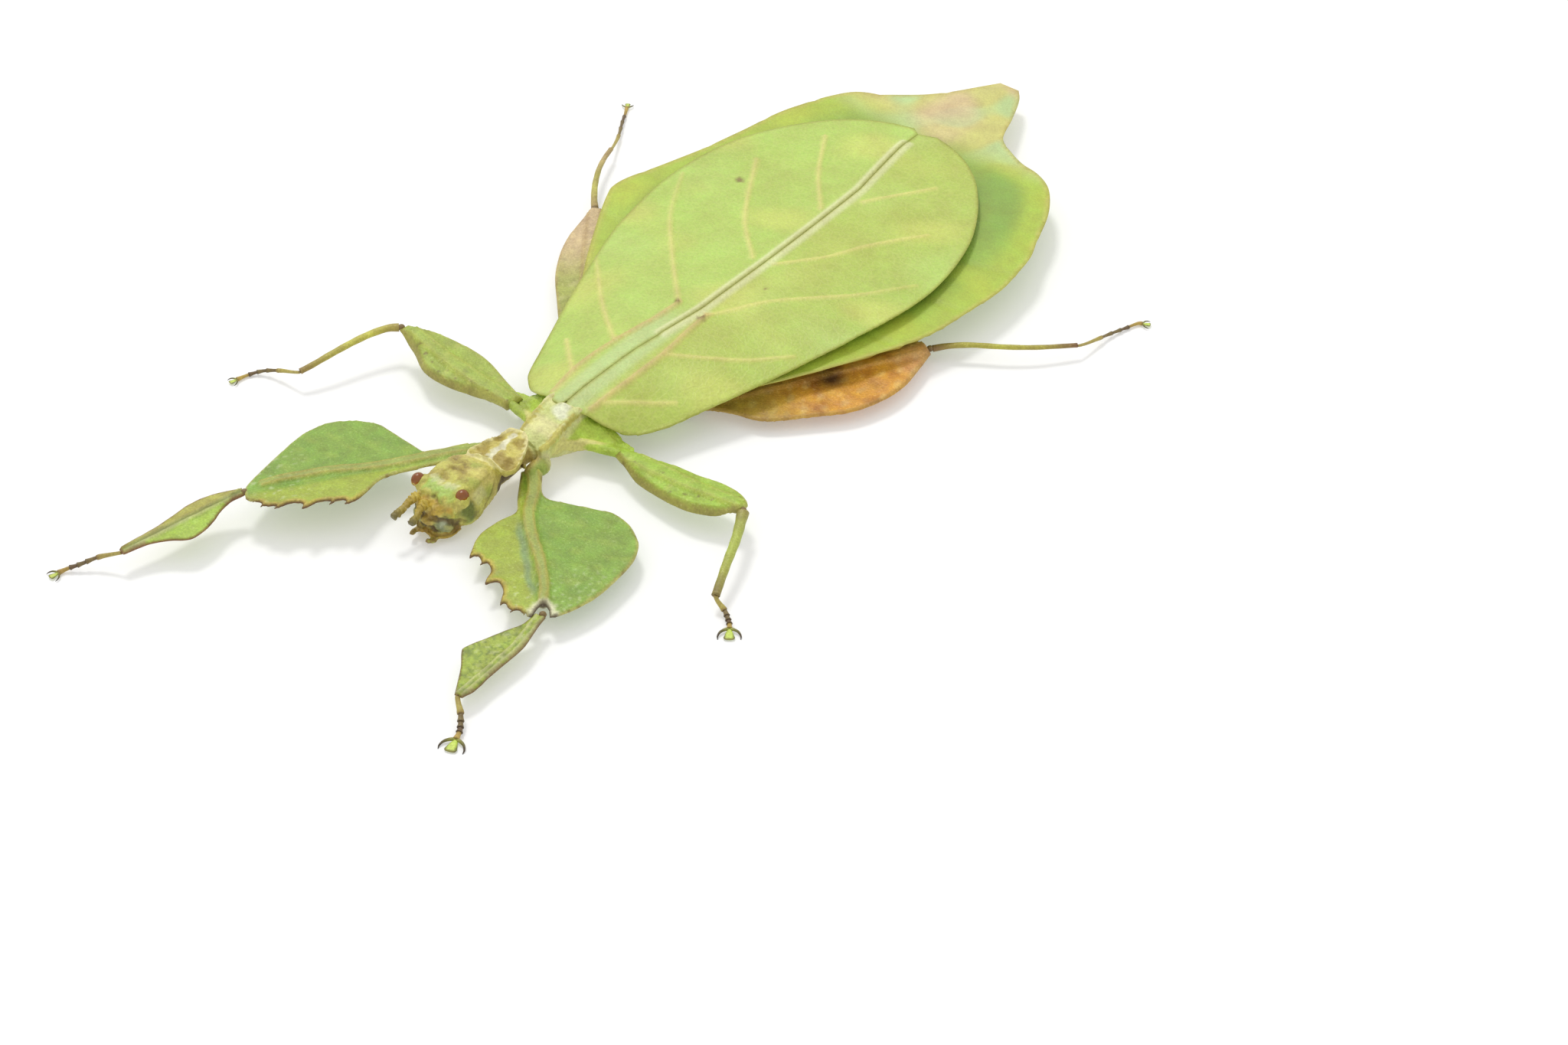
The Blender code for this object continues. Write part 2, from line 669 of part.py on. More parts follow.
# Each leg: its hip, its femur from base to knee, and the middle lines of its shin and foot.
LEGS = (
    {
        "name": "fore_left", "side": 1, "femur": FORE_FEMUR, "tibia": FORE_TIBIA,
        "hip": (1.9, -4.8, 2.0), "base": (1.7, -5.9, 1.9), "knee": (14.7, -19.5, 1.9),
        "shin": ((14.5, -20.0, 1.85), (15.5, -31.2, 1.5)),
        "foot": (
            (15.5, -31.3, 1.35), (16.5, -32.1, 0.95), (17.1, -32.8, 0.6), (17.5, -33.4, 0.4),
            (17.8, -34.2, 0.24),
        ),
        "shin_radii": (0.4, 0.4), "foot_radius": 0.32, "tilt": (0, 0), "spread": (1.0, 1.0),
    },
    {
        "name": "fore_right", "side": -1, "femur": FORE_FEMUR_RIGHT, "tibia": FORE_TIBIA_RIGHT,
        "hip": (-2.5, -6.0, 1.8), "base": (-3.3, -7.6, 2.3), "knee": (-14.3, -23.5, 3.0),
        "shin": ((-14.7, -23.8, 2.9), (-17.9, -34.8, 1.95)),
        "foot": (
            (-18.1, -34.8, 1.75), (-19.4, -35.4, 1.2), (-20.3, -35.9, 0.7), (-21.0, -36.6, 0.42),
            (-21.5, -37.4, 0.25), (-21.9, -38.3, 0.24),
        ),
        "shin_radii": (0.4, 0.4), "foot_radius": 0.3, "tilt": (-6, 16), "spread": (1.0, 1.0),
    },
    {
        "name": "mid_left", "side": 1, "femur": MID_FEMUR, "tibia": None,
        "hip": (5.95, 0.3, 2.1), "base": (6.1, 0.3, 2.1), "knee": (19.6, 0.1, 2.8),
        "shin": ((19.8, -0.2, 2.7), (21.3, -3.0, 2.5), (22.5, -5.8, 2.2), (23.8, -8.9, 1.5)),
        "foot": (
            (23.9, -9.0, 1.3), (24.4, -9.0, 0.85), (24.9, -9.1, 0.55), (25.5, -9.5, 0.38),
            (26.0, -9.9, 0.24),
            (26.4, -10.4, 0.24),
        ),
        "shin_radii": (0.48, 0.34), "foot_radius": 0.29, "tilt": (0, 0), "spread": (1.0, 1.0),
    },
    {
        "name": "mid_right", "side": -1, "femur": MID_FEMUR_RIGHT, "tibia": None,
        "hip": (-5.05, -0.3, 2.4), "base": (-5.2, -0.3, 2.4), "knee": (-19.3, 1.7, 3.2),
        "shin": (
            (-19.8, 1.6, 3.1), (-20.5, 0.9, 3.1), (-21.2, -0.5, 3.0), (-21.8, -2.2, 2.8),
            (-22.4, -4.3, 2.5),
            (-23.0, -6.1, 2.1), (-23.5, -7.2, 1.8),
        ),
        "foot": (
            (-23.8, -7.3, 1.6), (-25.7, -7.4, 1.0), (-27.3, -7.8, 0.5), (-28.2, -8.7, 0.24),
            (-28.6, -10.0, 0.24),
        ),
        "shin_radii": (0.42, 0.32), "foot_radius": 0.25, "tilt": (0, 0), "spread": (1.0, 1.0),
    },
    {
        "name": "hind_left", "side": 1, "femur": HIND_FEMUR, "tibia": None,
        "hip": (4.9, 6.5, 1.2), "base": (6.2, 11.0, 1.2), "knee": (17.3, 29.1, 1.4),
        "shin": (
            (17.6, 29.5, 1.4), (18.6, 30.6, 1.5), (20.2, 31.8, 1.6), (22.6, 33.3, 1.6),
            (24.8, 35.1, 1.5),
            (26.9, 37.2, 1.3),
        ),
        "foot": (
            (27.1, 37.6, 1.1), (27.5, 39.9, 0.7), (27.9, 42.0, 0.4), (28.4, 43.8, 0.24),
            (28.8, 44.9, 0.24),
            (29.2, 45.2, 0.24),
        ),
        "shin_radii": (0.36, 0.28), "foot_radius": 0.25, "tilt": (0, 0), "spread": (1.0, 0.95),
    },
    {
        "name": "hind_right", "side": -1, "femur": HIND_FEMUR, "tibia": None,
        "hip": (-4.9, 6.5, 1.2), "base": (-5.4, 9.6, 1.2), "knee": (-19.4, 27.8, 1.4),
        "shin": (
            (-19.7, 28.2, 1.4), (-20.6, 29.2, 1.5), (-21.9, 30.9, 1.6), (-23.2, 33.0, 1.6),
            (-24.1, 34.9, 1.5),
            (-24.8, 36.7, 1.3),
        ),
        "foot": (
            (-25.0, 37.1, 1.1), (-26.2, 39.4, 0.6), (-27.8, 42.0, 0.36), (-28.6, 43.4, 0.24),
            (-29.2, 44.4, 0.24),
        ),
        "shin_radii": (0.36, 0.28), "foot_radius": 0.25, "tilt": (0, 0), "spread": (0.8, 0.5),
    },
)
KNEE_SETBACK = 0.45
# Short gaps are left at the ankles, so each shin ends before its foot begins
ANKLE_SETBACK = 0.5
LEAST_BLADE_HALF_WIDTH = 0.4
TEETH_END = (18.8, 1.0)
# Foot: five segments, two claws and a pad
FOOT_SEGMENT_ENDS = (0.0, 0.42, 0.58, 0.71, 0.82, 1.0)
FOOT_FLARE = ((0.05, 0.8), (0.6, 0.85), (0.85, 1.0), (0.97, 0.9))
LEAST_FOOT_RADIUS = 0.27
# One claw beyond the toe: forward, aside and up, then its half thickness
CLAW = (
    (-0.1, 0.06, 0.0, 0.2), (0.1, 0.4, 0.04, 0.2), (0.4, 0.82, 0.02, 0.19), (0.85, 1.05, 0.0, 0.16),
    (1.2, 1.04, -0.05, 0.08),
)
# The pad between the claws: forward, half width, half thickness
PAD = ((-0.15, 0.18, 0.2), (0.35, 0.3, 0.22), (0.8, 0.44, 0.22), (1.15, 0.5, 0.2), (1.35, 0.3, 0.12))


def leg_frame(start, end, side):
    """Origin, forward, outward and upward of a leg piece."""
    start = np.asarray(start, float)
    forward = unit(np.asarray(end, float) - start)
    tail_ward = np.cross(UP, forward) * side
    outward = unit(tail_ward)
    upward = np.cross(forward, outward) * side
    return start, forward, outward, upward


def leaf(form, start, end, side, tilt, spread=(1.0, 1.0)):
    """A leg piece with a blade on each side of its shaft."""
    start, forward, outward, upward = leg_frame(start, end, side)
    length = np.linalg.norm(np.asarray(end, float) - start)
    stretch = length / form["length"]
    rear = [(u * stretch, max(v * spread[0], LEAST_BLADE_HALF_WIDTH)) for u, v in form["rear"]]
    front = [(u * stretch, -max(v * spread[1], LEAST_BLADE_HALF_WIDTH)) for u, v in form["front"]]
    front = smooth(front, 2)
    if form["teeth"]:
        front = np.vstack([front, [(u * stretch, -v) for u, v in hooked(form["teeth"])]])
    ring = np.vstack([front, smooth(rear[::-1], 2)])
    shaft = smooth([(u * stretch, v) for u, v in form["shaft"]], 3)
    radius = form["shaft_radius"]
    closed = np.vstack([ring, ring[:1]])
    lines = [shaft] + [beside(shaft, radius * k) for k in (-1, -0.6, 0.6, 1)]
    lines = [line[inside(line, ring) & (distance(line, closed) > 0.1)] for line in lines]
    lines = [line for line in lines if len(line) > 1]

    def heights(points):
        away = distance(points, shaft) / radius
        half = np.maximum(radius * np.sqrt(np.clip(1 - away**2, 0, 1)), BLADE / 2)
        outer_lean, inner_lean = np.tan(np.radians(tilt))
        lean = np.where(points[:, 1] > 0, points[:, 1] * outer_lean, -points[:, 1] * inner_lean)
        return lean + half, lean - half

    points, faces = plate(ring, lines, 1.9, heights)
    placed = start + np.outer(points[:, 0], forward)
    placed += np.outer(points[:, 1], outward) + np.outer(points[:, 2], upward)
    placed[:, 2] = np.maximum(placed[:, 2], 0.0)
    return placed, faces


def hooked(tips):
    """Teeth that lean to the knee, each with a bay behind it."""
    edge = []
    for (u, v, depth), (next_u, next_v, *_) in zip(tips, (*tips[1:], TEETH_END)):
        gap = next_u - u
        edge += [(u, v), (u - 0.15, v - 0.7 * depth)]
        edge += [(u + 0.4 * gap, v - depth), (u + 0.75 * gap, next_v - 0.12)]
    return edge


def straight(start, end, radii, sides=8):
    """A round rod whose radius changes evenly from its start to its end."""
    start, end = np.asarray(start, float), np.asarray(end, float)
    rows = []
    for share, shrink in ((0.0, 0.6), (0.04, 1.0), (0.96, 1.0), (1.0, 0.6)):
        radius = (radii[0] + (radii[1] - radii[0]) * share) * shrink
        rows.append((*(start + (end - start) * share), radius, radius))
    return loft(rows, sides)


# The round root of a femur runs this far into its shaft
ROOT_REACH = 0.9
ROOT_RADII = (0.95, 0.75)


def femur(leg):
    hip, base, knee = (np.array(leg[key]) for key in ("hip", "base", "knee"))
    end = knee - unit(knee - base) * KNEE_SETBACK
    root = straight(hip, base + unit(knee - base) * ROOT_REACH, ROOT_RADII)
    return [leaf(leg["femur"], base, end, leg["side"], leg["tilt"], leg["spread"]), root]


def tibia(leg):
    path = np.array(leg["shin"])
    path[-1] -= unit(path[-1] - path[-2]) * ANKLE_SETBACK
    if leg["tibia"]:
        return [leaf(leg["tibia"], path[0], path[-1], leg["side"], (0, 0))]
    path = smooth(path, 4)
    wide, narrow = leg["shin_radii"]
    rows = []
    for share in np.linspace(0, 1, 11):
        radius = (wide + (narrow - wide) * share) * (1 + 0.12 * abs(2 * share - 1) ** 6)
        rows.append((*point_at(path, share), radius, radius * 0.9))
    return [loft(rows, 8)]


def tarsus(leg):
    """Five flared segments that come down to the floor, then two claws beside a pad."""
    path = smooth(leg["foot"], 6)
    thick = max(leg["foot_radius"], LEAST_FOOT_RADIUS)
    rows = []
    for start, end in zip(FOOT_SEGMENT_ENDS, FOOT_SEGMENT_ENDS[1:]):
        for share, width in FOOT_FLARE:
            rows.append((*point_at(path, start + (end - start) * share), thick * width, thick * width))
    toe = path[-1]
    forward = unit((path[-1] - path[-4]) * (1, 1, 0))
    aside = np.cross(UP, forward)
    pieces = [loft(rows, 8, floor=0.0)]
    for side in (1, -1):
        rows = [
            (*(toe + forward * ahead + aside * side * out + UP * up), radius, radius)
            for ahead, out, up, radius in CLAW
        ]
        pieces.append(loft(rows, 6, floor=0.0))
    rows = [(*(toe + forward * ahead), wide, high) for ahead, wide, high in PAD]
    pieces.append(loft(rows, 8, facing=forward, floor=0.0))
    return pieces


def add_legs(parent):
    for leg in LEGS:
        shin = "shin_green"
        thigh = "dry_orange" if leg["name"] == "hind_left" else "leg_green"
        name = leg["name"]
        new_object(name + "_femur", femur(leg), thigh, leg["base"], parent)
        new_object(name + "_tibia", tibia(leg), shin, leg["knee"], parent)
        new_object(name + "_tarsus", tarsus(leg), "foot_brown", leg["foot"][0], parent)


def build():
    clear_scene()
    body = bpy.data.objects.new("leaf_insect", None)
    bpy.context.scene.collection.objects.link(body)
    new_object("abdomen", abdomen(), "abdomen_green", (0, 3, 2), body)
    new_object("thorax", thorax(), "thorax_tan", (0, -4, 2), body)
    new_object("pronotum", pronotum(), "pronotum_tan", (0, -5, 2), body)
    new_object("head", head(), "head_olive", (0, -9, 3), body)
    for side, name in ((1, "left"), (-1, "right")):
        new_object("wing_" + name, wing(side), "wing_green", (0, 1, 4), body)
        new_object("eye_" + name, eye(side), "eye_brown", (0, -14, 4), body)
        new_object("antenna_" + name, antenna(side), "feeler_tan", (0, -16, 3), body)
    add_legs(body)


build()
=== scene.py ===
"""Female leaf insect at life size: its dried skin, wings, eyes and feet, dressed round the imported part.

The head points to -Y, the tail to +Y and the insect's own left side to +X. The floor is z = 0.
Shapes are worked out in millimetres, and piece() turns them into metres.
"""

import math

import bmesh
import bpy
import numpy as np
from mathutils import Matrix, Vector, noise
from mathutils.geometry import delaunay_2d_cdt


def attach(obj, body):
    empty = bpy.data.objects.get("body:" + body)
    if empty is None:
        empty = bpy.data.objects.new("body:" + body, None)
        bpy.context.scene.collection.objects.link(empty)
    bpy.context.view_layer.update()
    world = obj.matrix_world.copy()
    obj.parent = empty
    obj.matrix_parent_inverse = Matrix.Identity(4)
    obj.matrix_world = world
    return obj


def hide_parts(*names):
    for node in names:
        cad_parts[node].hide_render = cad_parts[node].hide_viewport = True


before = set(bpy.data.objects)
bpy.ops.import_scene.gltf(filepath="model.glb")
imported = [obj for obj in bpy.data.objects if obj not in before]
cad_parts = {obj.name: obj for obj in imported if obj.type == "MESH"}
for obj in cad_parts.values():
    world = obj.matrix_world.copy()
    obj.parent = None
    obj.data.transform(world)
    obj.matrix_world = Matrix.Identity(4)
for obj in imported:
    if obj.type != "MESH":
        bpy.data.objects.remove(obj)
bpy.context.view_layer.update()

MM = 0.001
UP = np.array([0.0, 0.0, 1.0])
TAIL_WARD = np.array([0.0, 1.0, 0.0])
HEAD_WARD = -TAIL_WARD


# Numbers and curves

def unit(vector):
    return np.asarray(vector, float) / np.linalg.norm(vector)


def linear(hex_colour):
    """An sRGB hex colour as linear values."""
    channels = [int(hex_colour[i : i + 2], 16) / 255 for i in (1, 3, 5)]
    return np.array([c / 12.92 if c <= 0.04045 else ((c + 0.055) / 1.055) ** 2.4 for c in channels])


def smooth(rows, steps):
    """Points of a smooth curve through the rows, with this many steps to each span."""
    rows = np.asarray(rows, float)
    ends = np.vstack([2 * rows[0] - rows[1], rows, 2 * rows[-1] - rows[-2]])
    found = []
    for a, b, c, d in zip(ends, ends[1:], ends[2:], ends[3:]):
        for t in np.arange(steps) / steps:
            bend = (2 * a - 5 * b + 4 * c - d) * t**2 + (3 * b - a - 3 * c + d) * t**3
            found.append((2 * b + (c - a) * t + bend) / 2)
    found.append(rows[-1])
    return np.array(found)


def point_at(path, share):
    """The point at this share of the path's length."""
    lengths = np.linalg.norm(np.diff(path, axis=0), axis=1)
    reached = np.concatenate([[0], np.cumsum(lengths)]) / lengths.sum()
    return np.array([np.interp(share, reached, path[:, axis]) for axis in range(3)])


def step_up(value, low, high):
    """0 below low, 1 above high and smooth between."""
    share = np.clip((np.asarray(value, float) - low) / (high - low), 0, 1)
    return share * share * (3 - 2 * share)


def step_down(value, low, high):
    """1 below low, 0 above high and smooth between."""
    return 1 - step_up(value, low, high)


def table_at(table, places):
    """The table's value at each place, straight between its rows."""
    return np.interp(places, *zip(*table))


WAVE_COUNT = 9
WAVES_TO_A_LENGTH = (0.6, 1.5)
BUMP_TO_WAVE_LENGTH = 1.6


def waves(points, size, seed):
    """Soft noise of about -1 to 1 at each point, with bumps of about this size."""
    draw = np.random.default_rng(seed)
    total = np.zeros(len(points))
    for _ in range(WAVE_COUNT):
        way = draw.normal(size=points.shape[1])
        turns = draw.uniform(*WAVES_TO_A_LENGTH) * 2 * math.pi
        way *= turns / (size * BUMP_TO_WAVE_LENGTH) / np.linalg.norm(way)
        total += np.sin(points @ way + draw.uniform(0, 2 * math.pi))
    return total / (WAVE_COUNT / 2)


def inside(points, ring):
    """Whether each point lies inside the closed ring."""
    found = np.zeros(len(points), bool)
    x, y = points[:, 0], points[:, 1]
    for (ax, ay), (bx, by) in zip(ring, np.roll(ring, -1, axis=0)):
        if ay == by:
            continue
        crosses = (ay > y) != (by > y)
        found ^= crosses & (x < (bx - ax) * (y - ay) / (by - ay) + ax)
    return found


def distance(points, line):
    """Each point's distance to the nearest stretch of a line."""
    points = np.asarray(points, float)
    line = np.atleast_2d(np.asarray(line, float))
    if len(line) == 1:
        line = np.vstack([line, line])
    nearest = np.full(len(points), np.inf)
    for a, b in zip(line, line[1:]):
        span = b - a
        share = np.clip((points - a) @ span / max(span @ span, 1e-9), 0, 1)
        gap = np.linalg.norm(points - a - share[:, None] * span, axis=1)
        nearest = np.minimum(nearest, gap)
    return nearest


def closed(ring):
    """The ring with its first point added at its end."""
    return np.vstack([ring, ring[:1]])


def near(points, line, full, none):
    """1 closer to the line than full, 0 farther than none and smooth between."""
    return step_down(distance(points, line), full, none)


def ridge(points, line, half_width, height):
    """Height of a rounded ridge along a line."""
    return height * near(points, line, 0, half_width)


def beside(line, offset):
    """The line moved sideways by the offset."""
    line = np.asarray(line, float)
    along = np.gradient(line, axis=0)
    normal = np.column_stack([-along[:, 1], along[:, 0]])
    normal /= np.linalg.norm(normal, axis=1)[:, None]
    return line + normal * offset


# Meshes: a shape is its points, its faces and the tint of each point

def even(points, hex_colour):
    """The same tint for each point."""
    return np.tile(linear(hex_colour), (len(points), 1))


def mixed(base, hex_colour, weight):
    """The tints with this much of a colour laid over them."""
    weight = np.clip(weight, 0, 1)[:, None]
    return base * (1 - weight) + linear(hex_colour) * weight


def joined(shapes):
    """Several shapes as one."""
    points, faces, tints = [], [], []
    count = 0
    for shape_points, shape_faces, shape_tints in shapes:
        points.append(shape_points)
        faces += [tuple(i + count for i in face) for face in shape_faces]
        tints.append(shape_tints)
        count += len(shape_points)
    return np.vstack(points), faces, np.vstack(tints)


def loft(rows, sides=10, up=UP, floor=None, facing=None, squareness=1.0):
    """A closed skin over ellipses: each row is a centre, a half width and a half height.

    A squareness under 1 fills out the corners, and nothing reaches below the floor.
    """
    rows = np.asarray(rows, float)
    centres = rows[:, :3]
    paths = np.gradient(centres, axis=0)
    turns = np.arange(sides) * 2 * np.pi / sides
    wide, high = (np.sign(turn) * np.abs(turn) ** squareness for turn in (np.cos(turns), np.sin(turns)))
    points = []
    for centre, direction, half_width, half_height in zip(centres, paths, rows[:, 3], rows[:, 4]):
        forward = unit(direction if facing is None else facing)
        across = unit(np.cross(forward, up))
        upward = np.cross(across, forward)
        ring = np.outer(wide * half_width, across) + np.outer(high * half_height, upward)
        points.append(centre + ring)
    points = np.vstack(points)
    if floor is not None:
        points[:, 2] = np.maximum(points[:, 2], floor)
    return points, tube_faces(len(rows), sides)


def tube_faces(rings, sides):
    """The faces between neighbouring rings of points, and the two end caps."""
    faces = []
    for ring in range(rings - 1):
        for side in range(sides):
            a = ring * sides + side
            b = ring * sides + (side + 1) % sides
            faces.append((a, b, b + sides, a + sides))
    last = (rings - 1) * sides
    return faces + [tuple(reversed(range(sides))), tuple(last + side for side in range(sides))]


POLE_CAP = 0.06


def ball(centre, radii, sides=20, rings=12):
    """An egg shape with its poles along X."""
    turns = np.linspace(POLE_CAP, np.pi - POLE_CAP, rings)
    rows = [(-np.cos(turn), 0, 0, np.sin(turn), np.sin(turn)) for turn in turns]
    points, faces = loft(rows, sides)
    return np.array(centre) + points * np.array(radii), faces


ROW_SPACING = 0.87
LATTICE_CLEARANCE = 0.5
LINE_CLEARANCE = 0.45
WELD = 1e-5


def lattice(ring, lines, step):
    """Evenly spread points inside the ring, clear of it and of the lines."""
    low, high = ring.min(axis=0), ring.max(axis=0)
    found = []
    for number, y in enumerate(np.arange(low[1], high[1], step * ROW_SPACING)):
        start = low[0] + (number % 2) * step / 2
        found += [(x, y) for x in np.arange(start, high[0], step)]
    found = np.array(found)
    found = found[inside(found, ring)]
    for line in [closed(ring), *lines]:
        found = found[distance(found, line) > step * LATTICE_CLEARANCE]
    return found


def clear_of(line, ring, margin):
    """The points of the line that keep this far inside the ring."""
    return line[inside(line, ring) & (distance(line, closed(ring)) > margin)]


def triangulated(ring, lines, step):
    """Points and triangles that fill the ring, with edges along it and along the lines."""
    lines = [clear_of(np.asarray(line, float), ring, step * LINE_CLEARANCE) for line in lines]
    lines = [line for line in lines if len(line) > 1]
    edges = []
    count = len(ring)
    for line in lines:
        edges += [(count + i, count + i + 1) for i in range(len(line) - 1)]
        count += len(line)
    flat = np.vstack([ring, *lines, lattice(ring, lines, step)])
    result = delaunay_2d_cdt([tuple(p) for p in flat], edges, [list(range(len(ring)))], 1, WELD)
    flat = np.array([tuple(v) for v in result[0]])
    faces = np.array([list(face) for face in result[2] if len(face) == 3])
    a, b, c = (flat[faces[:, i]] for i in range(3))
    area = (b[:, 0] - a[:, 0]) * (c[:, 1] - a[:, 1]) - (b[:, 1] - a[:, 1]) * (c[:, 0] - a[:, 0])
    return flat, np.where((area > 0)[:, None], faces, faces[:, ::-1]).tolist()


def sheet(ring, lines, step, surface, paint):
    """A thin body cut from the ring: surface(flat) gives its two heights, and paint(flat) its tints."""
    flat, faces = triangulated(np.asarray(ring, float), lines, step)
    top, bottom = surface(flat)
    rim = {(x, y) for face in faces for x, y in zip(face, face[1:] + face[:1])}
    rim = [(x, y) for x, y in rim if (y, x) not in rim]
    size = len(flat)
    skin = [tuple(face) for face in faces]
    skin += [tuple(i + size for i in reversed(face)) for face in faces]
    skin += [(y, x, x + size, y + size) for x, y in sorted(rim)]
    points = np.vstack([np.column_stack([flat, top]), np.column_stack([flat, bottom])])
    tints = paint(flat)
    return points, skin, np.vstack([tints, tints])


THIN_EDGE = 0.2


def rounding(points, ring, radius):
    """1 inside, falling along a quarter circle to a thin edge at the ring."""
    away = np.clip(1 - distance(points, closed(ring)) / radius, 0, 1)
    return np.maximum(np.sqrt(1 - away**2), THIN_EDGE)


def piece(name, shape, material, nodes):
    """A visible piece in metres that stands for these nodes and rides on the one body."""
    points, faces, tints = shape
    mesh = bpy.data.meshes.new(name)
    mesh.from_pydata((points * MM).tolist(), [], faces)
    face_out(mesh)
    mesh.shade_smooth()
    colour = mesh.color_attributes.new("tint", "FLOAT_COLOR", "POINT")
    colour.data.foreach_set("color", np.column_stack([tints, np.ones(len(tints))]).ravel())
    mesh.materials.append(material)
    made = bpy.data.objects.new(name, mesh)
    bpy.context.scene.collection.objects.link(made)
    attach(made, "root")
    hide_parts(*nodes)


def face_out(mesh):
    """Turns every face outward."""
    shell = bmesh.new()
    shell.from_mesh(mesh)
    bmesh.ops.recalc_face_normals(shell, faces=shell.faces)
    shell.to_mesh(mesh)
    shell.free()


# Body plan

WING_BASE_Y = 0.9
WING_TIP_Y = 53.6
BODY_BEND = -0.9
BEND_START_Y, BEND_END_Y = 26, 52
# How far the line where the wings meet lies to the left of the middle: y, offset.
SEAM = ((0, 0.0), (10, 0.2), (18, 1.0), (42, 0.8), (50, -0.3), (54, -0.5))


def bend(y):
    """How far the dried body's middle line has drawn to one side."""
    return BODY_BEND * step_up(y, BEND_START_Y, BEND_END_Y)


def seam(y):
    return table_at(SEAM, y)


# Materials

CHITIN_IOR = 1.56
# The middle of a noise's range, where nearly all its values lie
NOISE_SPAN = (0.3, 0.7)
# How much lighter and darker the clouds and the fine grain make the tint at a contrast of 1
CLOUD_DEPTH = 0.13
SPECK_DEPTH = 0.1
# Unturned hue is 0.5
HUE_TURN = (0.49, 0.51)
# The part of a noise's range in which a pale scale comes up
FLECK_SPAN = (0.62, 0.74)
# How far a fine vein reaches, as a share of a mesh, and how strongly it shows and stands out
FINE_VEIN_SPAN = (0.02, 0.12)
FINE_VEIN_TINT = 0.12
FINE_VEIN_HEIGHT = 0.25


def add(tree, kind, settings=(), **links):
    """One node with its settings and what each input takes, by its name or as _2 for the third input."""
    node = tree.nodes.new(kind)
    for name, value in dict(settings).items():
        setattr(node, name, value)
    for name, value in links.items():
        number = name[1:]
        socket = node.inputs[int(number) if number.isdigit() else name.replace("_", " ")]
        if isinstance(value, bpy.types.NodeSocket):
            tree.links.new(value, socket)
        else:
            socket.default_value = value
    return node


def cuticle(name, grain, mottle, roughness, relief, contrast=1.0, flecks=0.0, cells=0.0):
    """Dried chitin: the painted tint, clouded by two noises, over a fine pitted surface.

    The sizes grain, mottle and cells and the depth relief are in millimetres. The clouding scales with
    contrast, flecks is how strongly pale scales show, and cells draws a net of veins.
    """
    material = bpy.data.materials.new(name)
    material.use_nodes = True
    tree = material.node_tree
    shader = tree.nodes["Principled BSDF"]
    place = add(tree, "ShaderNodeTexCoord").outputs["Object"]
    cloud = add(tree, "ShaderNodeTexNoise", Vector=place, Scale=1 / (mottle * MM), Detail=5.0, Roughness=0.6)
    fine = add(tree, "ShaderNodeTexNoise", Vector=place, Scale=1 / (grain * MM), Detail=3.0, Roughness=0.6)
    height = fine.outputs[0]
    colour = clouded(tree, cloud.outputs[0], height, contrast)
    if flecks:
        colour = flecked(tree, place, colour, grain, flecks)
    if cells:
        colour, height = netted(tree, place, colour, height, cells)
    bump = add(tree, "ShaderNodeBump", Height=height, Distance=relief * MM)
    tree.links.new(colour, shader.inputs["Base Color"])
    tree.links.new(bump.outputs[0], shader.inputs["Normal"])
    shader.inputs["Roughness"].default_value = roughness
    shader.inputs["IOR"].default_value = CHITIN_IOR
    return material


def clouded(tree, cloud, fine, contrast):
    """The painted tint, made lighter, darker and a little warmer or cooler by the two noises."""
    tint = add(tree, "ShaderNodeAttribute", {"attribute_name": "tint"}).outputs["Color"]
    soft, sharp = CLOUD_DEPTH * contrast, SPECK_DEPTH * contrast
    low, high = NOISE_SPAN
    shade = add(tree, "ShaderNodeMapRange", _0=cloud, _1=low, _2=high, _3=1 - soft, _4=1 + soft * 0.8)
    speck = add(tree, "ShaderNodeMapRange", _0=fine, _1=low, _2=high, _3=1 - sharp, _4=1 + sharp)
    both = add(tree, "ShaderNodeMath", {"operation": "MULTIPLY"}, _0=shade.outputs[0], _1=speck.outputs[0])
    lit = add(tree, "ShaderNodeVectorMath", {"operation": "SCALE"}, _0=tint, Scale=both.outputs[0])
    warm, cool = HUE_TURN
    turn = add(tree, "ShaderNodeMapRange", _0=cloud, _1=low, _2=high, _3=warm, _4=cool)
    return add(tree, "ShaderNodeHueSaturation", Color=lit.outputs[0], Hue=turn.outputs[0]).outputs[0]


def flecked(tree, place, colour, size, strength):
    """Small pale scales of this size in millimetres over the colour."""
    low, high = FLECK_SPAN
    scales = add(tree, "ShaderNodeTexNoise", Vector=place, Scale=1 / (size * MM), Detail=2.0)
    mask = add(tree, "ShaderNodeMapRange", _0=scales.outputs[0], _1=low, _2=high, _3=0.0, _4=strength)
    pale = (*linear("#E4E4BE"), 1)
    mix = add(tree, "ShaderNodeMix", {"data_type": "RGBA"}, _0=mask.outputs[0], _6=colour, _7=pale)
    return mix.outputs[2]


def netted(tree, place, colour, height, size):
    """The colour and the height with a net of fine raised veins, with meshes of this size in millimetres."""
    low, high = FINE_VEIN_SPAN
    settings = {"feature": "DISTANCE_TO_EDGE"}
    cell = add(tree, "ShaderNodeTexVoronoi", settings, Vector=place, Scale=1 / (size * MM))
    vein = add(tree, "ShaderNodeMapRange", _0=cell.outputs[0], _1=low, _2=high, _3=1.0, _4=0.0).outputs[0]
    weight = add(tree, "ShaderNodeMath", {"operation": "MULTIPLY"}, _0=vein, _1=FINE_VEIN_TINT)
    tan = (*linear("#D5CF86"), 1)
    mix = add(tree, "ShaderNodeMix", {"data_type": "RGBA"}, _0=weight.outputs[0], _6=colour, _7=tan)
    lift = {"operation": "MULTIPLY_ADD"}
    raised = add(tree, "ShaderNodeMath", lift, _0=vein, _1=FINE_VEIN_HEIGHT, _2=height)
    return mix.outputs[2], raised.outputs[0]


# Wings

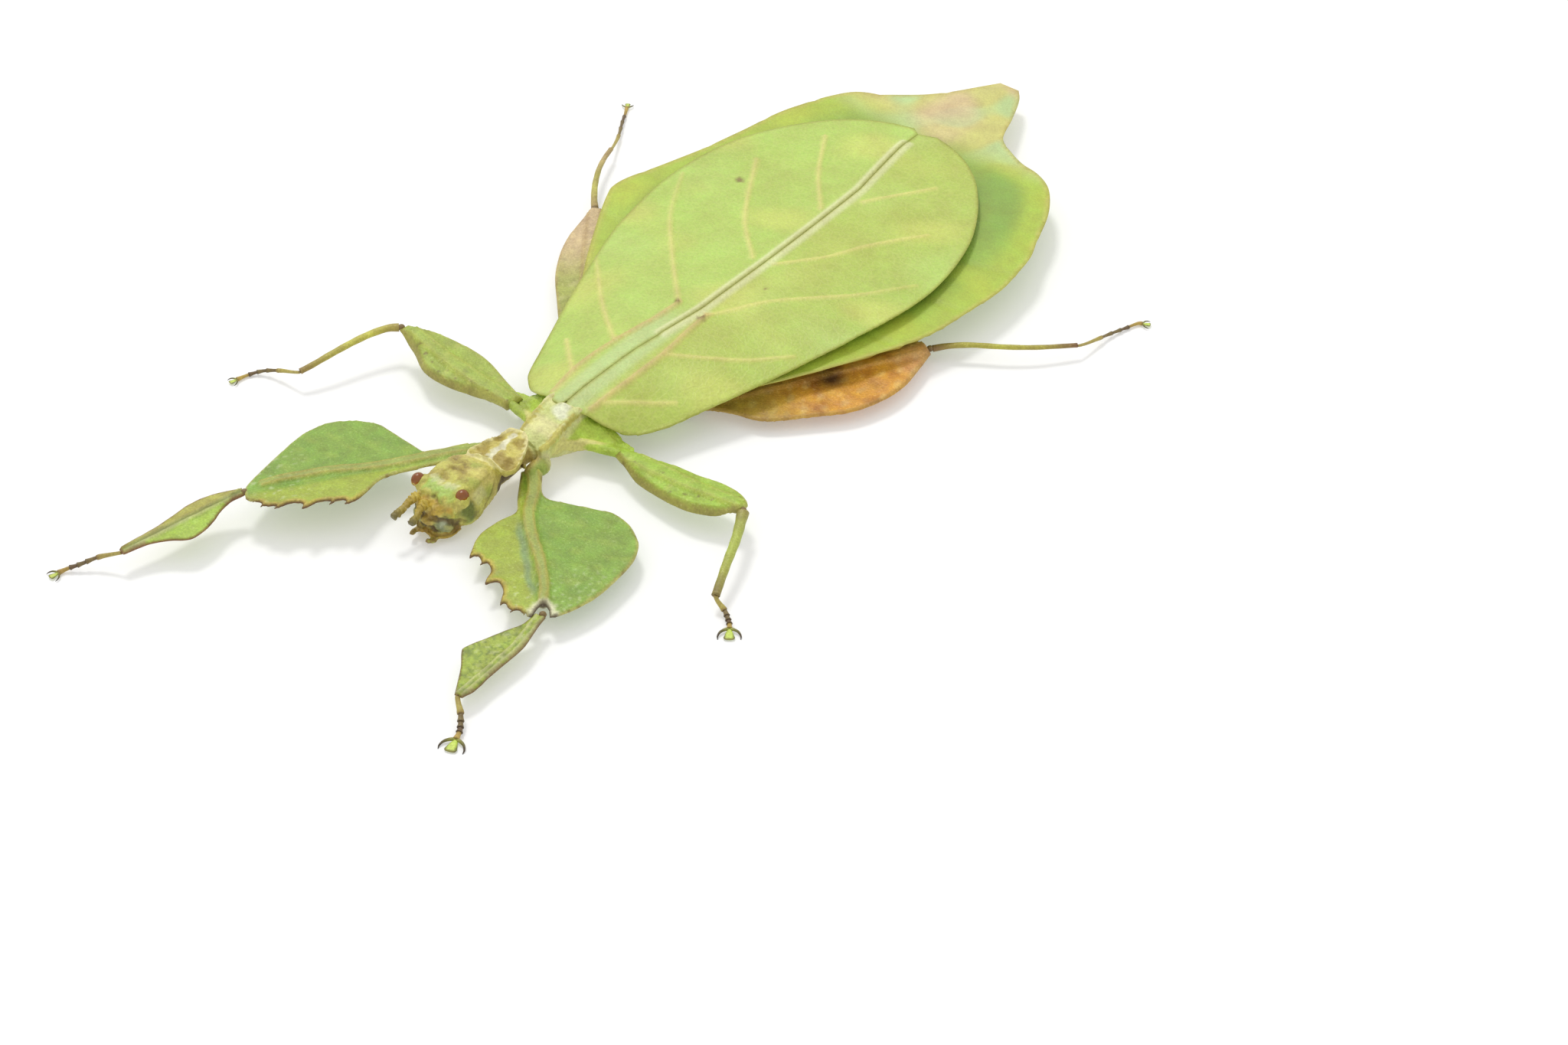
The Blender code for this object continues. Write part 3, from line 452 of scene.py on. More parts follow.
# y, half width
WING_HALF_WIDTH = (
    (2.0, 5.2), (4.3, 6.8), (9.4, 9.0), (14.4, 10.8), (18.9, 12.2), (23.0, 13.4), (27.5, 14.3),
    (31.4, 14.8), (34.6, 14.8), (38.3, 14.3), (42.0, 13.3), (45.5, 11.6), (48.3, 9.7),
    (50.4, 7.8), (52.1, 5.5), (53.1, 3.3),
)
WING_OUTLINE = ((1.65, 4.6), (2.75, 6.0), (4.3, 7.1)) + WING_HALF_WIDTH[2:]
# Each wing's main vein and then its branches, as x, y from its base outward
WING_VEINS = {
    1: (
        ((2.1, 1.4), (2.4, 5.5), (2.5, 10.5), (2.1, 14.5), (1.9, 17.4)),
        ((2.6, 2.9), (6.6, 7.4)),
        ((2.6, 10.9), (7.2, 14.4), (10.9, 18.3)),
        ((1.9, 17.4), (5.4, 23.3), (10.0, 28.4), (13.2, 33.0)),
        ((1.6, 27.2), (4.5, 31.2), (6.4, 35.3), (9.3, 40.0)),
        ((1.6, 40.5), (5.4, 46.5)),
    ),
    -1: (
        ((-2.1, 1.4), (-2.4, 5.8), (-2.1, 9.5), (-1.4, 13.9), (-1.2, 17.5)),
        ((-2.6, 4.6), (-6.5, 8.5)),
        ((-2.3, 9.9), (-7.0, 14.0), (-12.2, 19.4)),
        ((-1.2, 17.5), (-6.0, 22.6), (-11.0, 28.5), (-14.3, 34.4)),
        ((-0.4, 27.0), (-5.0, 31.7), (-10.4, 40.3)),
        ((-0.6, 37.2), (-4.4, 41.8), (-7.8, 47.3)),
    ),
}
# Brown spots where main veins meet and where the wing is bruised: x, y, radius.
WING_SPOTS = ((-1.35, 17.4, 0.35), (1.9, 16.9, 0.4), (-9.3, 36.5, 0.55), (3.4, 24.0, 0.22))
WING_THICKNESS = 0.32
WING_STEP = 0.27
# Heights along the wing's middle and its outer edge: y, z
WING_CROWN = ((0, 4.5), (1.2, 4.65), (3, 4.85), (8, 5.0), (20, 4.9), (30, 4.7), (40, 4.3), (54, 3.9))
WING_EDGE = ((0, 2.6), (6, 2.7), (15, 3.5), (24, 4.2), (40, 4.1), (54, 3.9))
# How far a vein reaches to each side, and its height
MAIN_VEIN = (0.42, 0.26)
BRANCH_VEIN = (0.3, 0.14)
SEAM_RIB = (0.5, 0.2)
SEAM_RIB_OFFSET = 0.3


def wing_plain(points):
    """Upper height of a wing without its veins."""
    x, y = np.abs(points[:, 0] - bend(points[:, 1])), points[:, 1]
    crown, edge = table_at(WING_CROWN, y), table_at(WING_EDGE, y)
    return crown + (edge - crown) * np.clip(x / table_at(WING_HALF_WIDTH, y), 0, 1) ** 1.8


def wing_ring(side):
    """The outline of one wing, from its base round the outer edge and back along the seam."""
    outer = smooth([(side * x, y) for y, x in WING_OUTLINE], 5)
    outer[:, 0] += bend(outer[:, 1])
    tip_x = float(bend(WING_TIP_Y))
    tip = smooth([(outer[-1][0], outer[-1][1]), (tip_x + side * 1.3, WING_TIP_Y)], 3)[1:]
    inner_y = np.linspace(WING_TIP_Y - 0.6, WING_BASE_Y, 100)
    inner = np.column_stack([bend(inner_y) + seam(inner_y) + side * 0.02, inner_y])
    root = [(side * 0.3, 0.15), (side * 1.2, 0.35), (side * 2.3, 0.75), (side * 3.5, 1.05)]
    base = smooth([*root, outer[0]], 4)[:-1]
    return np.vstack([base, outer, tip, inner])


def wing(side):
    """One fore wing: a thin leathery sheet with raised veins and a rib along the seam."""
    ring = wing_ring(side)
    main, *branches = [smooth(vein, 8) for vein in WING_VEINS[side]]
    rib_y = np.linspace(13.0, 51.0, 60)
    rib = np.column_stack([bend(rib_y) + seam(rib_y) + side * SEAM_RIB_OFFSET, rib_y])
    lines = [beside(main, offset) for offset in (-0.3, 0, 0.3)]
    for branch in branches:
        lines += [beside(branch, offset) for offset in (-0.18, 0, 0.18)]
    rim = closed(ring)

    def surface(flat):
        plain = wing_plain(flat)
        raised = ridge(flat, main, *MAIN_VEIN)
        for branch in branches:
            raised = np.maximum(raised, ridge(flat, branch, *BRANCH_VEIN))
        raised = np.maximum(raised, ridge(flat, rib, *SEAM_RIB))
        half = WING_THICKNESS * rounding(flat, ring, 0.25)
        lift = 0.07 * waves(flat, 5, 3 + side)
        top = plain + raised + lift * step_up(distance(flat, rim), 0, 2)
        return top, top - raised - half

    def paint(flat):
        tints = even(flat, "#AEBF50" if side > 0 else "#AFC858")
        x, y = np.abs(flat[:, 0] - bend(flat[:, 1])), flat[:, 1]
        tints = mixed(tints, "#A9C452", 0.6 * step_up(x, 5, 14) * step_down(y, 30, 50))
        tints = mixed(tints, "#B6D068", 0.5 * step_up(waves(flat, 9, 5), 0, 1))
        tints = mixed(tints, "#CACD62", 0.6 * step_up(waves(flat, 7, 9), 0, 1.2))
        between = step_up(1.9 - x, 0, 0.8) * step_down(y, 14, 18)
        tints = mixed(tints, "#B9CC8C", 0.65 * between)
        for branch in branches:
            fade = 1 - 0.45 * step_up(x, 8, 14)
            tints = mixed(tints, "#DAD27A", 0.8 * fade * near(flat, branch, 0.08, 0.3))
        tints = mixed(tints, "#CDB870", 0.9 * near(flat, main, 0.14, 0.42))
        tints = mixed(tints, "#DDE0A8", 0.85 * near(flat, rib, 0.2, 0.6))
        tints = mixed(tints, "#9FA238", 0.7 * near(flat, rim, 0.05, 0.4))
        for x, y, radius in WING_SPOTS:
            if x * side > 0:
                tints = daub(tints, flat, [(x, y)], radius, "#7A5A2C", 0.85)
        return tints

    return sheet(ring, lines, WING_STEP, surface, paint)


# Abdomen

# y, half width of each side
ABDOMEN_LEFT = (
    (2.6, 3.2), (6.0, 4.8), (10.0, 7.2), (15.0, 10.6), (20.0, 13.7), (25.0, 16.0), (28.6, 17.4),
    (31.8, 18.2), (37.6, 19.0), (40.8, 18.9), (43.9, 18.5), (46.5, 17.5), (49.9, 16.3),
    (52.4, 14.9), (54.4, 13.2), (55.6, 11.2), (56.2, 9.1), (57.4, 6.8), (58.7, 5.2),
    (61.9, 3.9), (65.4, 2.3), (66.9, 1.2),
)
ABDOMEN_RIGHT = (
    (2.6, 3.2), (6.0, 4.8), (10.0, 7.2), (15.0, 10.6), (20.0, 13.7), (25.0, 16.6), (28.4, 18.3),
    (29.9, 18.8), (31.8, 18.6), (34.7, 17.5), (37.3, 16.6), (40.5, 15.5), (44.2, 14.6),
    (48.1, 13.9), (51.4, 12.7), (54.5, 11.6), (56.6, 10.3), (58.0, 7.8), (60.4, 5.2),
    (62.7, 3.5), (65.3, 2.0), (67.0, 1.0),
)
# Heights along the abdomen's middle, its edge and its belly, and half the belly's width: y, value
ABDOMEN_CROWN = ((2, 3.9), (10, 4.0), (20, 3.9), (30, 3.7), (40, 3.4), (50, 3.1), (60, 2.9), (67, 2.4))
ABDOMEN_EDGE = ((2, 3.15), (30, 3.15), (50, 3.15), (56, 2.85), (67, 2.15))
BELLY_LEVEL = ((2, 0.6), (5, -0.5), (52, -0.5), (60, 1.2), (67, 1.7))
BELLY_HALF_WIDTH = ((2, 2.6), (8, 3.7), (50, 3.7), (60, 2.6), (67, 1.2))
BELLY_LINES = (-3.7, -3.2, 0, 3.2, 3.7)
ABDOMEN_BLADE = 0.4
ABDOMEN_STEP = 0.4
ABDOMEN_UNDER_WINGS = 0.75
SEGMENT_ENDS_Y = (9.0, 16.5, 24.0, 31.5, 38.5, 45.0, 50.5, 55.5, 60.0)
SEGMENT_BOW = 2.2


def abdomen():
    """The leaf-shaped abdomen: thin side lobes round a belly that rests on the floor."""
    left = smooth([(x, y) for y, x in ABDOMEN_LEFT], 5)
    right = smooth([(-x, y) for y, x in ABDOMEN_RIGHT], 5)
    ring = np.vstack([left, right[::-1]])
    ring[:, 0] += bend(ring[:, 1])
    rim = closed(ring)

    def surface(flat):
        x, y = flat[:, 0] - bend(flat[:, 1]), flat[:, 1]
        width = np.where(x > 0, table_at(ABDOMEN_LEFT, y), table_at(ABDOMEN_RIGHT, y))
        out = np.clip(np.abs(x) / width, 0, 1)
        crown, edge = table_at(ABDOMEN_CROWN, y), table_at(ABDOMEN_EDGE, y)
        top = crown + (edge - crown) * out**1.3
        top = np.minimum(top, wing_plain(flat) - ABDOMEN_UNDER_WINGS)
        top = top + 0.12 * waves(flat, 6, 11) * step_up(out, 0.3, 0.8)
        for place in SEGMENT_ENDS_Y:
            away = np.abs(y - place - SEGMENT_BOW * out**2)
            top = top - 0.09 * step_down(away, 0, 0.45)
        top = top + ridge(flat, rim, 0.5, 0.08)
        swell = np.sqrt(np.clip(1 - (x / table_at(BELLY_HALF_WIDTH, y)) ** 2, 0, 1))
        under = top - ABDOMEN_BLADE * rounding(flat, ring, 0.3)
        bottom = np.maximum(under + (table_at(BELLY_LEVEL, y) - under) * swell, 0.0)
        return top, np.minimum(bottom, under)

    def paint(flat):
        x, y = flat[:, 0] - bend(flat[:, 1]), flat[:, 1]
        tints = even(flat, "#A9BE3C")
        edge = distance(flat, rim)
        tints = mixed(tints, "#94B03C", step_up(edge, 1.5, 4.5))
        tints = mixed(tints, "#BBC63C", 0.5 * step_up(waves(flat, 6, 21), 0, 1))
        # Painted shade: darker green over the left lobe of the rear half, clear of its rim.
        shade = step_up(x, 6, 9) * step_up(y, 40, 47) * step_down(y, 52, 56)
        tints = mixed(tints, "#7FA23C", 0.7 * shade * step_up(edge, 1.5, 3.5))
        tail = step_up(y - 0.15 * np.abs(x), 51.5, 56.5)
        tints = mixed(tints, "#CBC474", 0.9 * tail)
        blue = tail * step_up(waves(flat, 4.5, 31) + 0.04 * (np.abs(x) - 3), -0.1, 0.5)
        tints = mixed(tints, "#B0D292", 0.7 * blue)
        pink = tail * step_down(np.abs(x + 1), 1.5, 4) * step_up(waves(flat, 5, 8), -0.6, 0.4)
        tints = mixed(tints, "#D3B78D", 0.75 * pink)
        tints = mixed(tints, "#C9B964", 0.6 * step_down(edge, 0.1, 0.55))
        return tints

    belly_y = np.linspace(3.5, 58.0, 120)
    belly = [np.column_stack([bend(belly_y) + offset, belly_y]) for offset in BELLY_LINES]
    return sheet(ring, belly, ABDOMEN_STEP, surface, paint)


# Legs

# Outlines run from the base of a leg piece to its far end: how far along, then how far out.
# A tooth also says how deep the bay behind it is. The shaft stands out by body, half is half the blade's
# thickness, and fold is how far the front edge is folded down.
FORE_FEMUR = {
    "length": 18.8,
    "rear": (
        (0.0, 0.9), (3.4, 0.8), (4.7, 2.8), (5.8, 5.2), (6.5, 6.5), (8.1, 7.6), (10.0, 8.1),
        (11.2, 8.1), (13.0, 7.5), (15.0, 6.1), (17.1, 4.3), (18.5, 2.4), (19.2, 1.0), (19.3, 0.3),
    ),
    "front": (
        (0.0, 0.9), (3.4, 1.4), (5.3, 1.6), (6.2, 2.8), (6.9, 3.7), (7.8, 4.6), (8.8, 5.15),
        (9.9, 5.5), (10.6, 5.7),
    ),
    "teeth": (
        (11.0, 5.75, 0.9), (12.0, 4.95, 0.85), (14.55, 4.65, 1.4), (17.35, 3.6, 0.6), (18.3, 2.85, 0.95),
        (18.75, 1.8, 0.3),
    ),
    "notch": ((19.3, -1.2), (18.4, -0.8), (17.8, -0.4), (17.8, 0.05), (18.4, 0.3)),
    "shaft": (
        (0.3, 0.1), (3.0, 0.0), (5.9, -0.6), (9.0, -0.5), (11.7, -0.1), (15.2, 0.1), (17.6, -0.15),
    ),
    "shaft_half_width": (0.46, 0.3),
    "body": 0.42,
    "half": 0.17,
    "fold": 0.0,
}
FORE_FEMUR_RIGHT = {
    **FORE_FEMUR,
    "front": ((0.0, 0.9), (5.0, 1.3), (7.3, 1.6), (8.5, 2.2), (9.6, 3.4), (10.6, 4.4), (11.3, 4.75)),
    "teeth": (
        (11.8, 4.8, 0.8), (13.0, 4.4, 0.7), (15.2, 4.3, 1.2), (17.3, 3.5, 0.6), (18.3, 2.8, 0.95),
        (18.75, 1.8, 0.3),
    ),
    "rear": (
        (0.0, 0.9), (3.4, 0.8), (4.7, 2.8), (5.8, 5.2), (6.5, 6.5), (8.1, 7.6), (10.0, 8.0),
        (11.2, 7.8), (13.0, 6.8), (15.0, 4.9), (17.1, 2.7), (18.5, 1.1), (19.0, 0.3),
    ),
    "notch": (),
    "shaft": ((0.3, 0.1), (3.0, 0.1), (5.9, -0.1), (9.0, 0.1), (11.7, 0.5), (15.2, 0.7), (17.6, 0.4)),
}
MID_FEMUR = {
    "length": 13.4,
    "rear": (
        (0.0, 0.45), (1.9, 0.85), (4.9, 1.4), (7.6, 1.5), (9.7, 1.75), (11.5, 1.6), (12.8, 1.1),
        (13.4, 0.6),
    ),
    "front": (
        (0.0, 0.45), (1.6, 1.1), (3.6, 1.8), (6.0, 2.2), (8.0, 2.35), (9.8, 2.2), (12.1, 1.3),
        (13.4, 0.5),
    ),
    "teeth": (),
    "notch": (),
    "shaft": ((0.3, 0.0), (7.0, -0.2), (13.2, 0.1)),
    "shaft_half_width": (0.75, 0.45),
    "body": 0.5,
    "half": 0.17,
    "fold": 0.6,
}
MID_FEMUR_RIGHT = {
    **MID_FEMUR,
    "length": 14.3,
    "rear": ((0.0, 1.2), (3.0, 1.8), (5.7, 2.4), (8.3, 2.4), (11.7, 1.7), (13.4, 0.9), (14.3, 0.5)),
    "front": ((0.0, 0.6), (3.1, 1.1), (6.1, 2.1), (8.9, 2.3), (11.6, 1.2), (14.3, 0.5)),
    "fold": 0.5,
}
HIND_FEMUR = {
    **MID_FEMUR,
    "length": 20.1,
    "front": (
        (0.0, 0.9), (2.0, 2.6), (4.1, 4.7), (7.9, 5.7), (11.2, 6.3), (14.2, 5.7), (16.4, 4.5),
        (18.2, 2.8), (20.1, 0.8),
    ),
    "rear": (
        (0.0, 0.9), (4.0, 1.0), (9.0, 1.6), (13.8, 2.4), (17.0, 2.2), (19.4, 1.6), (20.1, 0.8),
    ),
    "shaft": ((0.3, 0.0), (10.0, 0.0), (19.8, 0.0)),
    "shaft_half_width": (0.85, 0.6),
    "fold": 0.0,
}
FORE_TIBIA = {
    "length": 11.2,
    "rear": (
        (-0.1, 0.5), (0.9, 0.6), (2.0, 0.8), (3.9, 1.1), (6.3, 0.95), (8.2, 0.8), (9.4, 0.8),
        (10.3, 0.7), (11.2, 0.35),
    ),
    "front": (
        (-0.1, 0.5), (1.4, 0.6), (3.0, 1.4), (4.6, 2.2), (6.2, 2.95), (6.9, 2.8), (8.2, 1.9), (9.7, 1.1),
        (11.2, 0.35),
    ),
    "teeth": (),
    "notch": (),
    "shaft": ((0.1, 0.1), (3.9, 0.5), (7.0, 0.35), (11.0, 0.05)),
    "shaft_half_width": (0.3, 0.25),
    "body": 0.18,
    "half": 0.11,
    "fold": 0.0,
}
FORE_TIBIA_RIGHT = {
    **FORE_TIBIA,
    "length": 11.4,
    "rear": (
        (-0.3, 0.5), (2.0, 1.4), (4.0, 1.6), (5.6, 1.3), (7.4, 0.95), (9.2, 0.8), (10.6, 0.7),
        (11.4, 0.4),
    ),
    "front": (
        (-0.1, 0.4), (1.2, 0.4), (2.5, 0.9), (3.6, 1.6), (4.7, 2.1), (5.9, 2.35), (6.7, 2.05),
        (7.8, 1.2), (9.2, 0.6), (10.6, 0.4), (11.4, 0.3),
    ),
    "shaft": ((0.1, 0.0), (4.0, 0.1), (11.2, 0.1)),
}
# Each leg: its hip, its femur from base to knee, the middle lines of its shin and foot, the shin's half
# width at the knee and the ankle, and the size of its toes. Its femur's rear and front blades rise by tilt,
# in degrees, and reach out by spread, as a share of the form's.
LEGS = (
    {
        "name": "fore_left", "side": 1, "femur": FORE_FEMUR, "tibia": FORE_TIBIA,
        "hip": (1.9, -4.8, 2.0), "base": (1.7, -5.9, 1.9), "knee": (14.7, -19.5, 1.9),
        "shin": ((14.5, -20.0, 1.85), (15.5, -31.2, 1.5)),
        "foot": (
            (15.5, -31.3, 1.35), (16.5, -32.1, 0.95), (17.1, -32.8, 0.6), (17.5, -33.4, 0.4),
            (17.8, -34.2, 0.24),
        ),
        "shin_radii": (0.4, 0.4), "foot_radius": 0.3, "toe_scale": 1.0,
        "tilt": (0, 0), "spread": (1.0, 1.0),
    },
    {
        "name": "fore_right", "side": -1, "femur": FORE_FEMUR_RIGHT, "tibia": FORE_TIBIA_RIGHT,
        "hip": (-2.5, -6.0, 2.1), "base": (-3.3, -7.6, 2.85), "knee": (-14.3, -23.5, 3.0),
        "shin": ((-14.7, -23.8, 2.9), (-17.9, -34.8, 1.95)),
        "foot": (
            (-18.2, -34.8, 1.75), (-19.7, -35.75, 1.2), (-20.7, -36.9, 0.7), (-21.35, -37.6, 0.42),
            (-21.7, -38.1, 0.25), (-21.8, -38.5, 0.24),
        ),
        "shin_radii": (0.4, 0.4), "foot_radius": 0.24, "toe_scale": 0.6,
        "tilt": (-4, 8), "spread": (1.0, 1.0),
    },
    {
        "name": "mid_left", "side": 1, "femur": MID_FEMUR, "tibia": None,
        "hip": (3.1, -0.4, 2.2), "base": (6.1, 0.3, 2.1), "knee": (19.6, 0.1, 2.8),
        "shin": ((19.8, -0.2, 2.7), (21.3, -3.0, 2.5), (22.5, -5.8, 2.2), (23.8, -8.9, 1.5)),
        "foot": (
            (23.9, -9.0, 1.3), (24.4, -9.0, 0.85), (24.9, -9.1, 0.55), (25.5, -9.5, 0.38),
            (26.0, -9.9, 0.24), (26.4, -10.4, 0.24),
        ),
        "shin_radii": (0.48, 0.34), "foot_radius": 0.27, "toe_scale": 0.9,
        "tilt": (0, 0), "spread": (1.0, 1.0),
    },
    {
        "name": "mid_right", "side": -1, "femur": MID_FEMUR_RIGHT, "tibia": None,
        "hip": (-3.1, -0.6, 2.2), "base": (-5.2, -0.3, 2.4), "knee": (-19.3, 1.7, 3.2),
        "shin": (
            (-19.8, 1.6, 3.1), (-20.5, 0.9, 3.1), (-21.2, -0.5, 3.0), (-21.8, -2.2, 2.8),
            (-22.4, -4.3, 2.5), (-23.0, -6.1, 2.1), (-23.5, -7.2, 1.8),
        ),
        "foot": (
            (-23.8, -7.3, 1.6), (-25.7, -7.4, 1.0), (-27.3, -7.8, 0.5), (-28.2, -8.7, 0.24),
            (-28.6, -10.0, 0.24),
        ),
        "shin_radii": (0.38, 0.28), "foot_radius": 0.21, "toe_scale": 0.5,
        "tilt": (0, 0), "spread": (1.0, 1.0),
    },
    {
        "name": "hind_left", "side": 1, "femur": HIND_FEMUR, "tibia": None,
        "hip": (4.9, 6.5, 1.2), "base": (6.2, 11.0, 1.2), "knee": (17.3, 29.1, 1.4),
        "shin": (
            (17.6, 29.5, 1.4), (18.6, 30.6, 1.5), (20.2, 31.8, 1.6), (22.6, 33.3, 1.6),
            (24.8, 35.1, 1.5), (27.2, 37.8, 1.25),
        ),
        "foot": (
            (27.4, 38.2, 1.1), (27.65, 40.2, 0.7), (27.9, 42.0, 0.4), (28.4, 43.8, 0.24),
            (28.8, 44.9, 0.24), (29.2, 45.2, 0.24),
        ),
        "shin_radii": (0.31, 0.22), "foot_radius": 0.19, "toe_scale": 0.5,
        "tilt": (0, 0), "spread": (1.0, 0.95),
    },
    {
        "name": "hind_right", "side": -1, "femur": HIND_FEMUR, "tibia": None,
        "hip": (-4.9, 6.5, 1.2), "base": (-5.4, 9.6, 1.2), "knee": (-19.4, 27.8, 1.4),
        "shin": (
            (-19.7, 28.2, 1.4), (-20.6, 29.2, 1.5), (-21.9, 30.9, 1.6), (-23.2, 33.0, 1.6),
            (-24.1, 34.9, 1.5), (-24.8, 36.7, 1.3),
        ),
        "foot": (
            (-25.0, 37.1, 1.1), (-26.2, 39.4, 0.6), (-27.8, 42.0, 0.36), (-28.6, 43.4, 0.24),
            (-29.2, 44.4, 0.24),
        ),
        "shin_radii": (0.31, 0.22), "foot_radius": 0.19, "toe_scale": 0.5,
        "tilt": (0, 0), "spread": (0.8, 0.5),
    },
)
LEAF_STEP = 0.22
KEEL_HALF_WIDTH = 0.26
KEEL_HEIGHTS = (0.17, 0.13)
TROUGH_DEPTH = 0.1
LEAST_HEIGHT = 0.02
# Where the last bay of the teeth ends: along, out
TEETH_END = (19.3, 1.2)


def leg_frame(start, end, side):
    """Origin, forward, rearward and upward of a leg piece."""
    start = np.asarray(start, float)
    forward = unit(np.asarray(end, float) - start)
    rearward = unit(np.cross(UP, forward) * side)
    upward = np.cross(forward, rearward) * side
    return start, forward, rearward, upward


def hooked(tips, last):
    """Teeth that lean to the knee, each with a rounded bay behind it, up to the last point."""
    edge = []
    for (u, v, depth), (next_u, next_v, *_) in zip(tips, (*tips[1:], last)):
        gap = next_u - u
        edge += [(u, v), (u - 0.2, v - 0.4 * depth), (u - 0.12, v - 0.8 * depth)]
        edge += [(u + 0.35 * gap, v - depth), (u + 0.75 * gap, next_v - 0.12)]
    return edge


def leaf_ring(form, stretch, spread):
    """The outline of a leg blade, and the part of it that is its front edge."""
    rear = smooth([(u, v * spread[0]) for u, v in form["rear"]], 6)
    front = list(form["front"])
    if form["teeth"]:
        front += hooked(form["teeth"], TEETH_END)
    front = smooth([(u, -v * spread[1]) for u, v in front], 5)
    ends = [front]
    if form["notch"]:
        ends.append(smooth(form["notch"], 4))
    ring = np.vstack([*ends, rear[::-1]])
    return ring * (stretch, 1), front * (stretch, 1)


def leaf(form, start, end, side, tilt, spread, paint):
    """A leg piece with a blade on each side of its shaft.

    Its tints come from paint(flat, rim, keel, between): the places, with the first number as a share of the
    length, the distances to the rim and to the nearest keel, and the share of the way from shaft to keel.
    """
    start, forward, rearward, upward = leg_frame(start, end, side)
    length = np.linalg.norm(np.asarray(end, float) - start)
    stretch = length / form["length"]
    ring, front = leaf_ring(form, stretch, spread)
    shaft = smooth([(u * stretch, v) for u, v in form["shaft"]], 8)
    wide, narrow = form["shaft_half_width"]
    widths = np.linspace(wide, narrow, len(shaft))[:, None]
    keels = [beside(shaft, widths), beside(shaft, -widths)]
    rim = closed(ring)

    def surface(flat):
        u, v = flat.T
        away = distance(flat, shaft) / np.interp(u, shaft[:, 0], widths[:, 0])
        body = form["body"] * np.exp(-(away**2) * 0.8)
        half = (form["half"] + ridge(flat, rim, 0.5, 0.05)) * rounding(flat, ring, 0.22)
        keel = sum(ridge(flat, line, KEEL_HALF_WIDTH, rise) for line, rise in zip(keels, KEEL_HEIGHTS))
        trough = TROUGH_DEPTH * np.exp(-(away**2) * 3)
        rear_lean, front_lean = np.tan(np.radians(tilt))
        lean = np.where(v > 0, v * rear_lean, -v * front_lean)
        lean = lean + 0.06 * waves(flat, 2.6, 17) * step_up(distance(flat, rim), 0, 1)
        lean = lean + 0.02 * waves(flat, 0.9, 18)
        middle = step_up(u / length, 0.08, 0.25) * step_down(u / length, 0.85, 0.97)
        lean = lean - form["fold"] * middle * near(flat, front, 0.05, 0.42)
        inner = rounding(flat, ring, 0.5)
        return lean + half + (body + keel - trough) * inner, lean - half - body * 0.9 * inner

    def tint(flat):
        keel = np.minimum(distance(flat, keels[0]), distance(flat, keels[1]))
        between = distance(flat, shaft) / np.interp(flat[:, 0], shaft[:, 0], widths[:, 0])
        return paint(flat / (length, 1), distance(flat, rim), keel, between)

    points, faces, tints = sheet(ring, [shaft, *keels], LEAF_STEP, surface, tint)
    placed = start + np.outer(points[:, 0], forward)
    placed += np.outer(points[:, 1], rearward) + np.outer(points[:, 2], upward)
    placed[:, 2] = np.maximum(placed[:, 2], LEAST_HEIGHT)
    return placed, faces, tints


# About the lengths of a long femur, a short one and a fore shin, to turn shares of them into millimetres
FEMUR_SPREAD = (18, 1)
SHORT_FEMUR_SPREAD = (14, 1)
SHIN_SPREAD = (11, 1)


def blotched(flat, base, darker, lighter, size):
    """A base tint with soft darker and lighter blotches of this size."""
    spread = flat * FEMUR_SPREAD
    tints = even(flat, base)
    tints = mixed(tints, darker, 0.6 * step_up(waves(spread, size, 4), 0, 1))
    return mixed(tints, lighter, 0.5 * step_up(waves(spread, size / 2, 44), 0.1, 1))


def green_femur(flat, rim, keel, between):
    """Green behind, yellower in front, with two tan keels and pale flecks towards the knee."""
    u, v = flat.T
    tints = blotched(flat, "#82A332", "#72942C", "#99B33C", 2.5)
    front = step_up(-v, 0.3, 1.2)
    tints = mixed(tints, "#A6B234", 0.8 * front)
    flecks = step_up(waves(flat * FEMUR_SPREAD, 0.45, 8), 0.45, 0.9) * step_up(u, 0.6, 0.9)
    tints = mixed(tints, "#DDE2B8", 0.35 * flecks)
    tints = mixed(tints, "#A3A450", 0.6 * step_down(between, 0.7, 1.1))
    tints = mixed(tints, "#AFA74A", 0.9 * step_down(keel, 0.05, 0.2))
    dots = step_up(waves(flat * FEMUR_SPREAD, 0.4, 12), 0.3, 0.7)
    tints = mixed(tints, "#BDB468", 0.85 * step_down(rim, 0.06, 0.26))
    return mixed(tints, "#7A5A2C", 0.7 * dots * step_down(rim, 0.05, 0.2))


def toothed_femur(flat, rim, keel, between):
    """The green femur with tan teeth that are brown along their edge."""
    tints = green_femur(flat, rim, keel, between)
    teeth = step_up(-flat[:, 1], 1.4, 2.0) * step_up(flat[:, 0], 0.5, 0.58)
    tints = mixed(tints, "#BFA43C", 0.8 * teeth * step_down(rim, 0.12, 0.6))
    return mixed(tints, "#5E3A1A", 0.9 * teeth * step_down(rim, 0.01, 0.13))


def notched_femur(flat, rim, keel, between):
    """The toothed femur with a blue-grey streak in front of its keels and a dark notch at the knee."""
    u, v = flat.T
    tints = toothed_femur(flat, rim, keel, between)
    streak = step_down(np.abs(v + 1.9 - 1.2 * u + 0.2 * waves(flat * FEMUR_SPREAD, 2, 3)), 0.1, 0.55)
    tints = mixed(tints, "#6F8F6A", 0.65 * streak * step_up(u, 0.3, 0.45) * step_down(u, 0.8, 0.92))
    knee = step_up(u, 0.91, 0.945) * step_down(np.abs(v + 0.2), 1.0, 1.5)
    tints = mixed(tints, "#E6E2BC", 0.85 * knee * step_down(rim, 0.3, 0.7))
    return mixed(tints, "#4A361C", 0.95 * knee * step_down(rim, 0.05, 0.3))


def bright_femur(flat, rim, keel, between):
    """Bright yellow-green with an olive front keel and flange, the flange's olive partly painted shade."""
    tints = blotched(flat, "#9EBC34", "#90AE30", "#B8C656", 2.0)
    return olive_front(tints, flat, rim, keel)


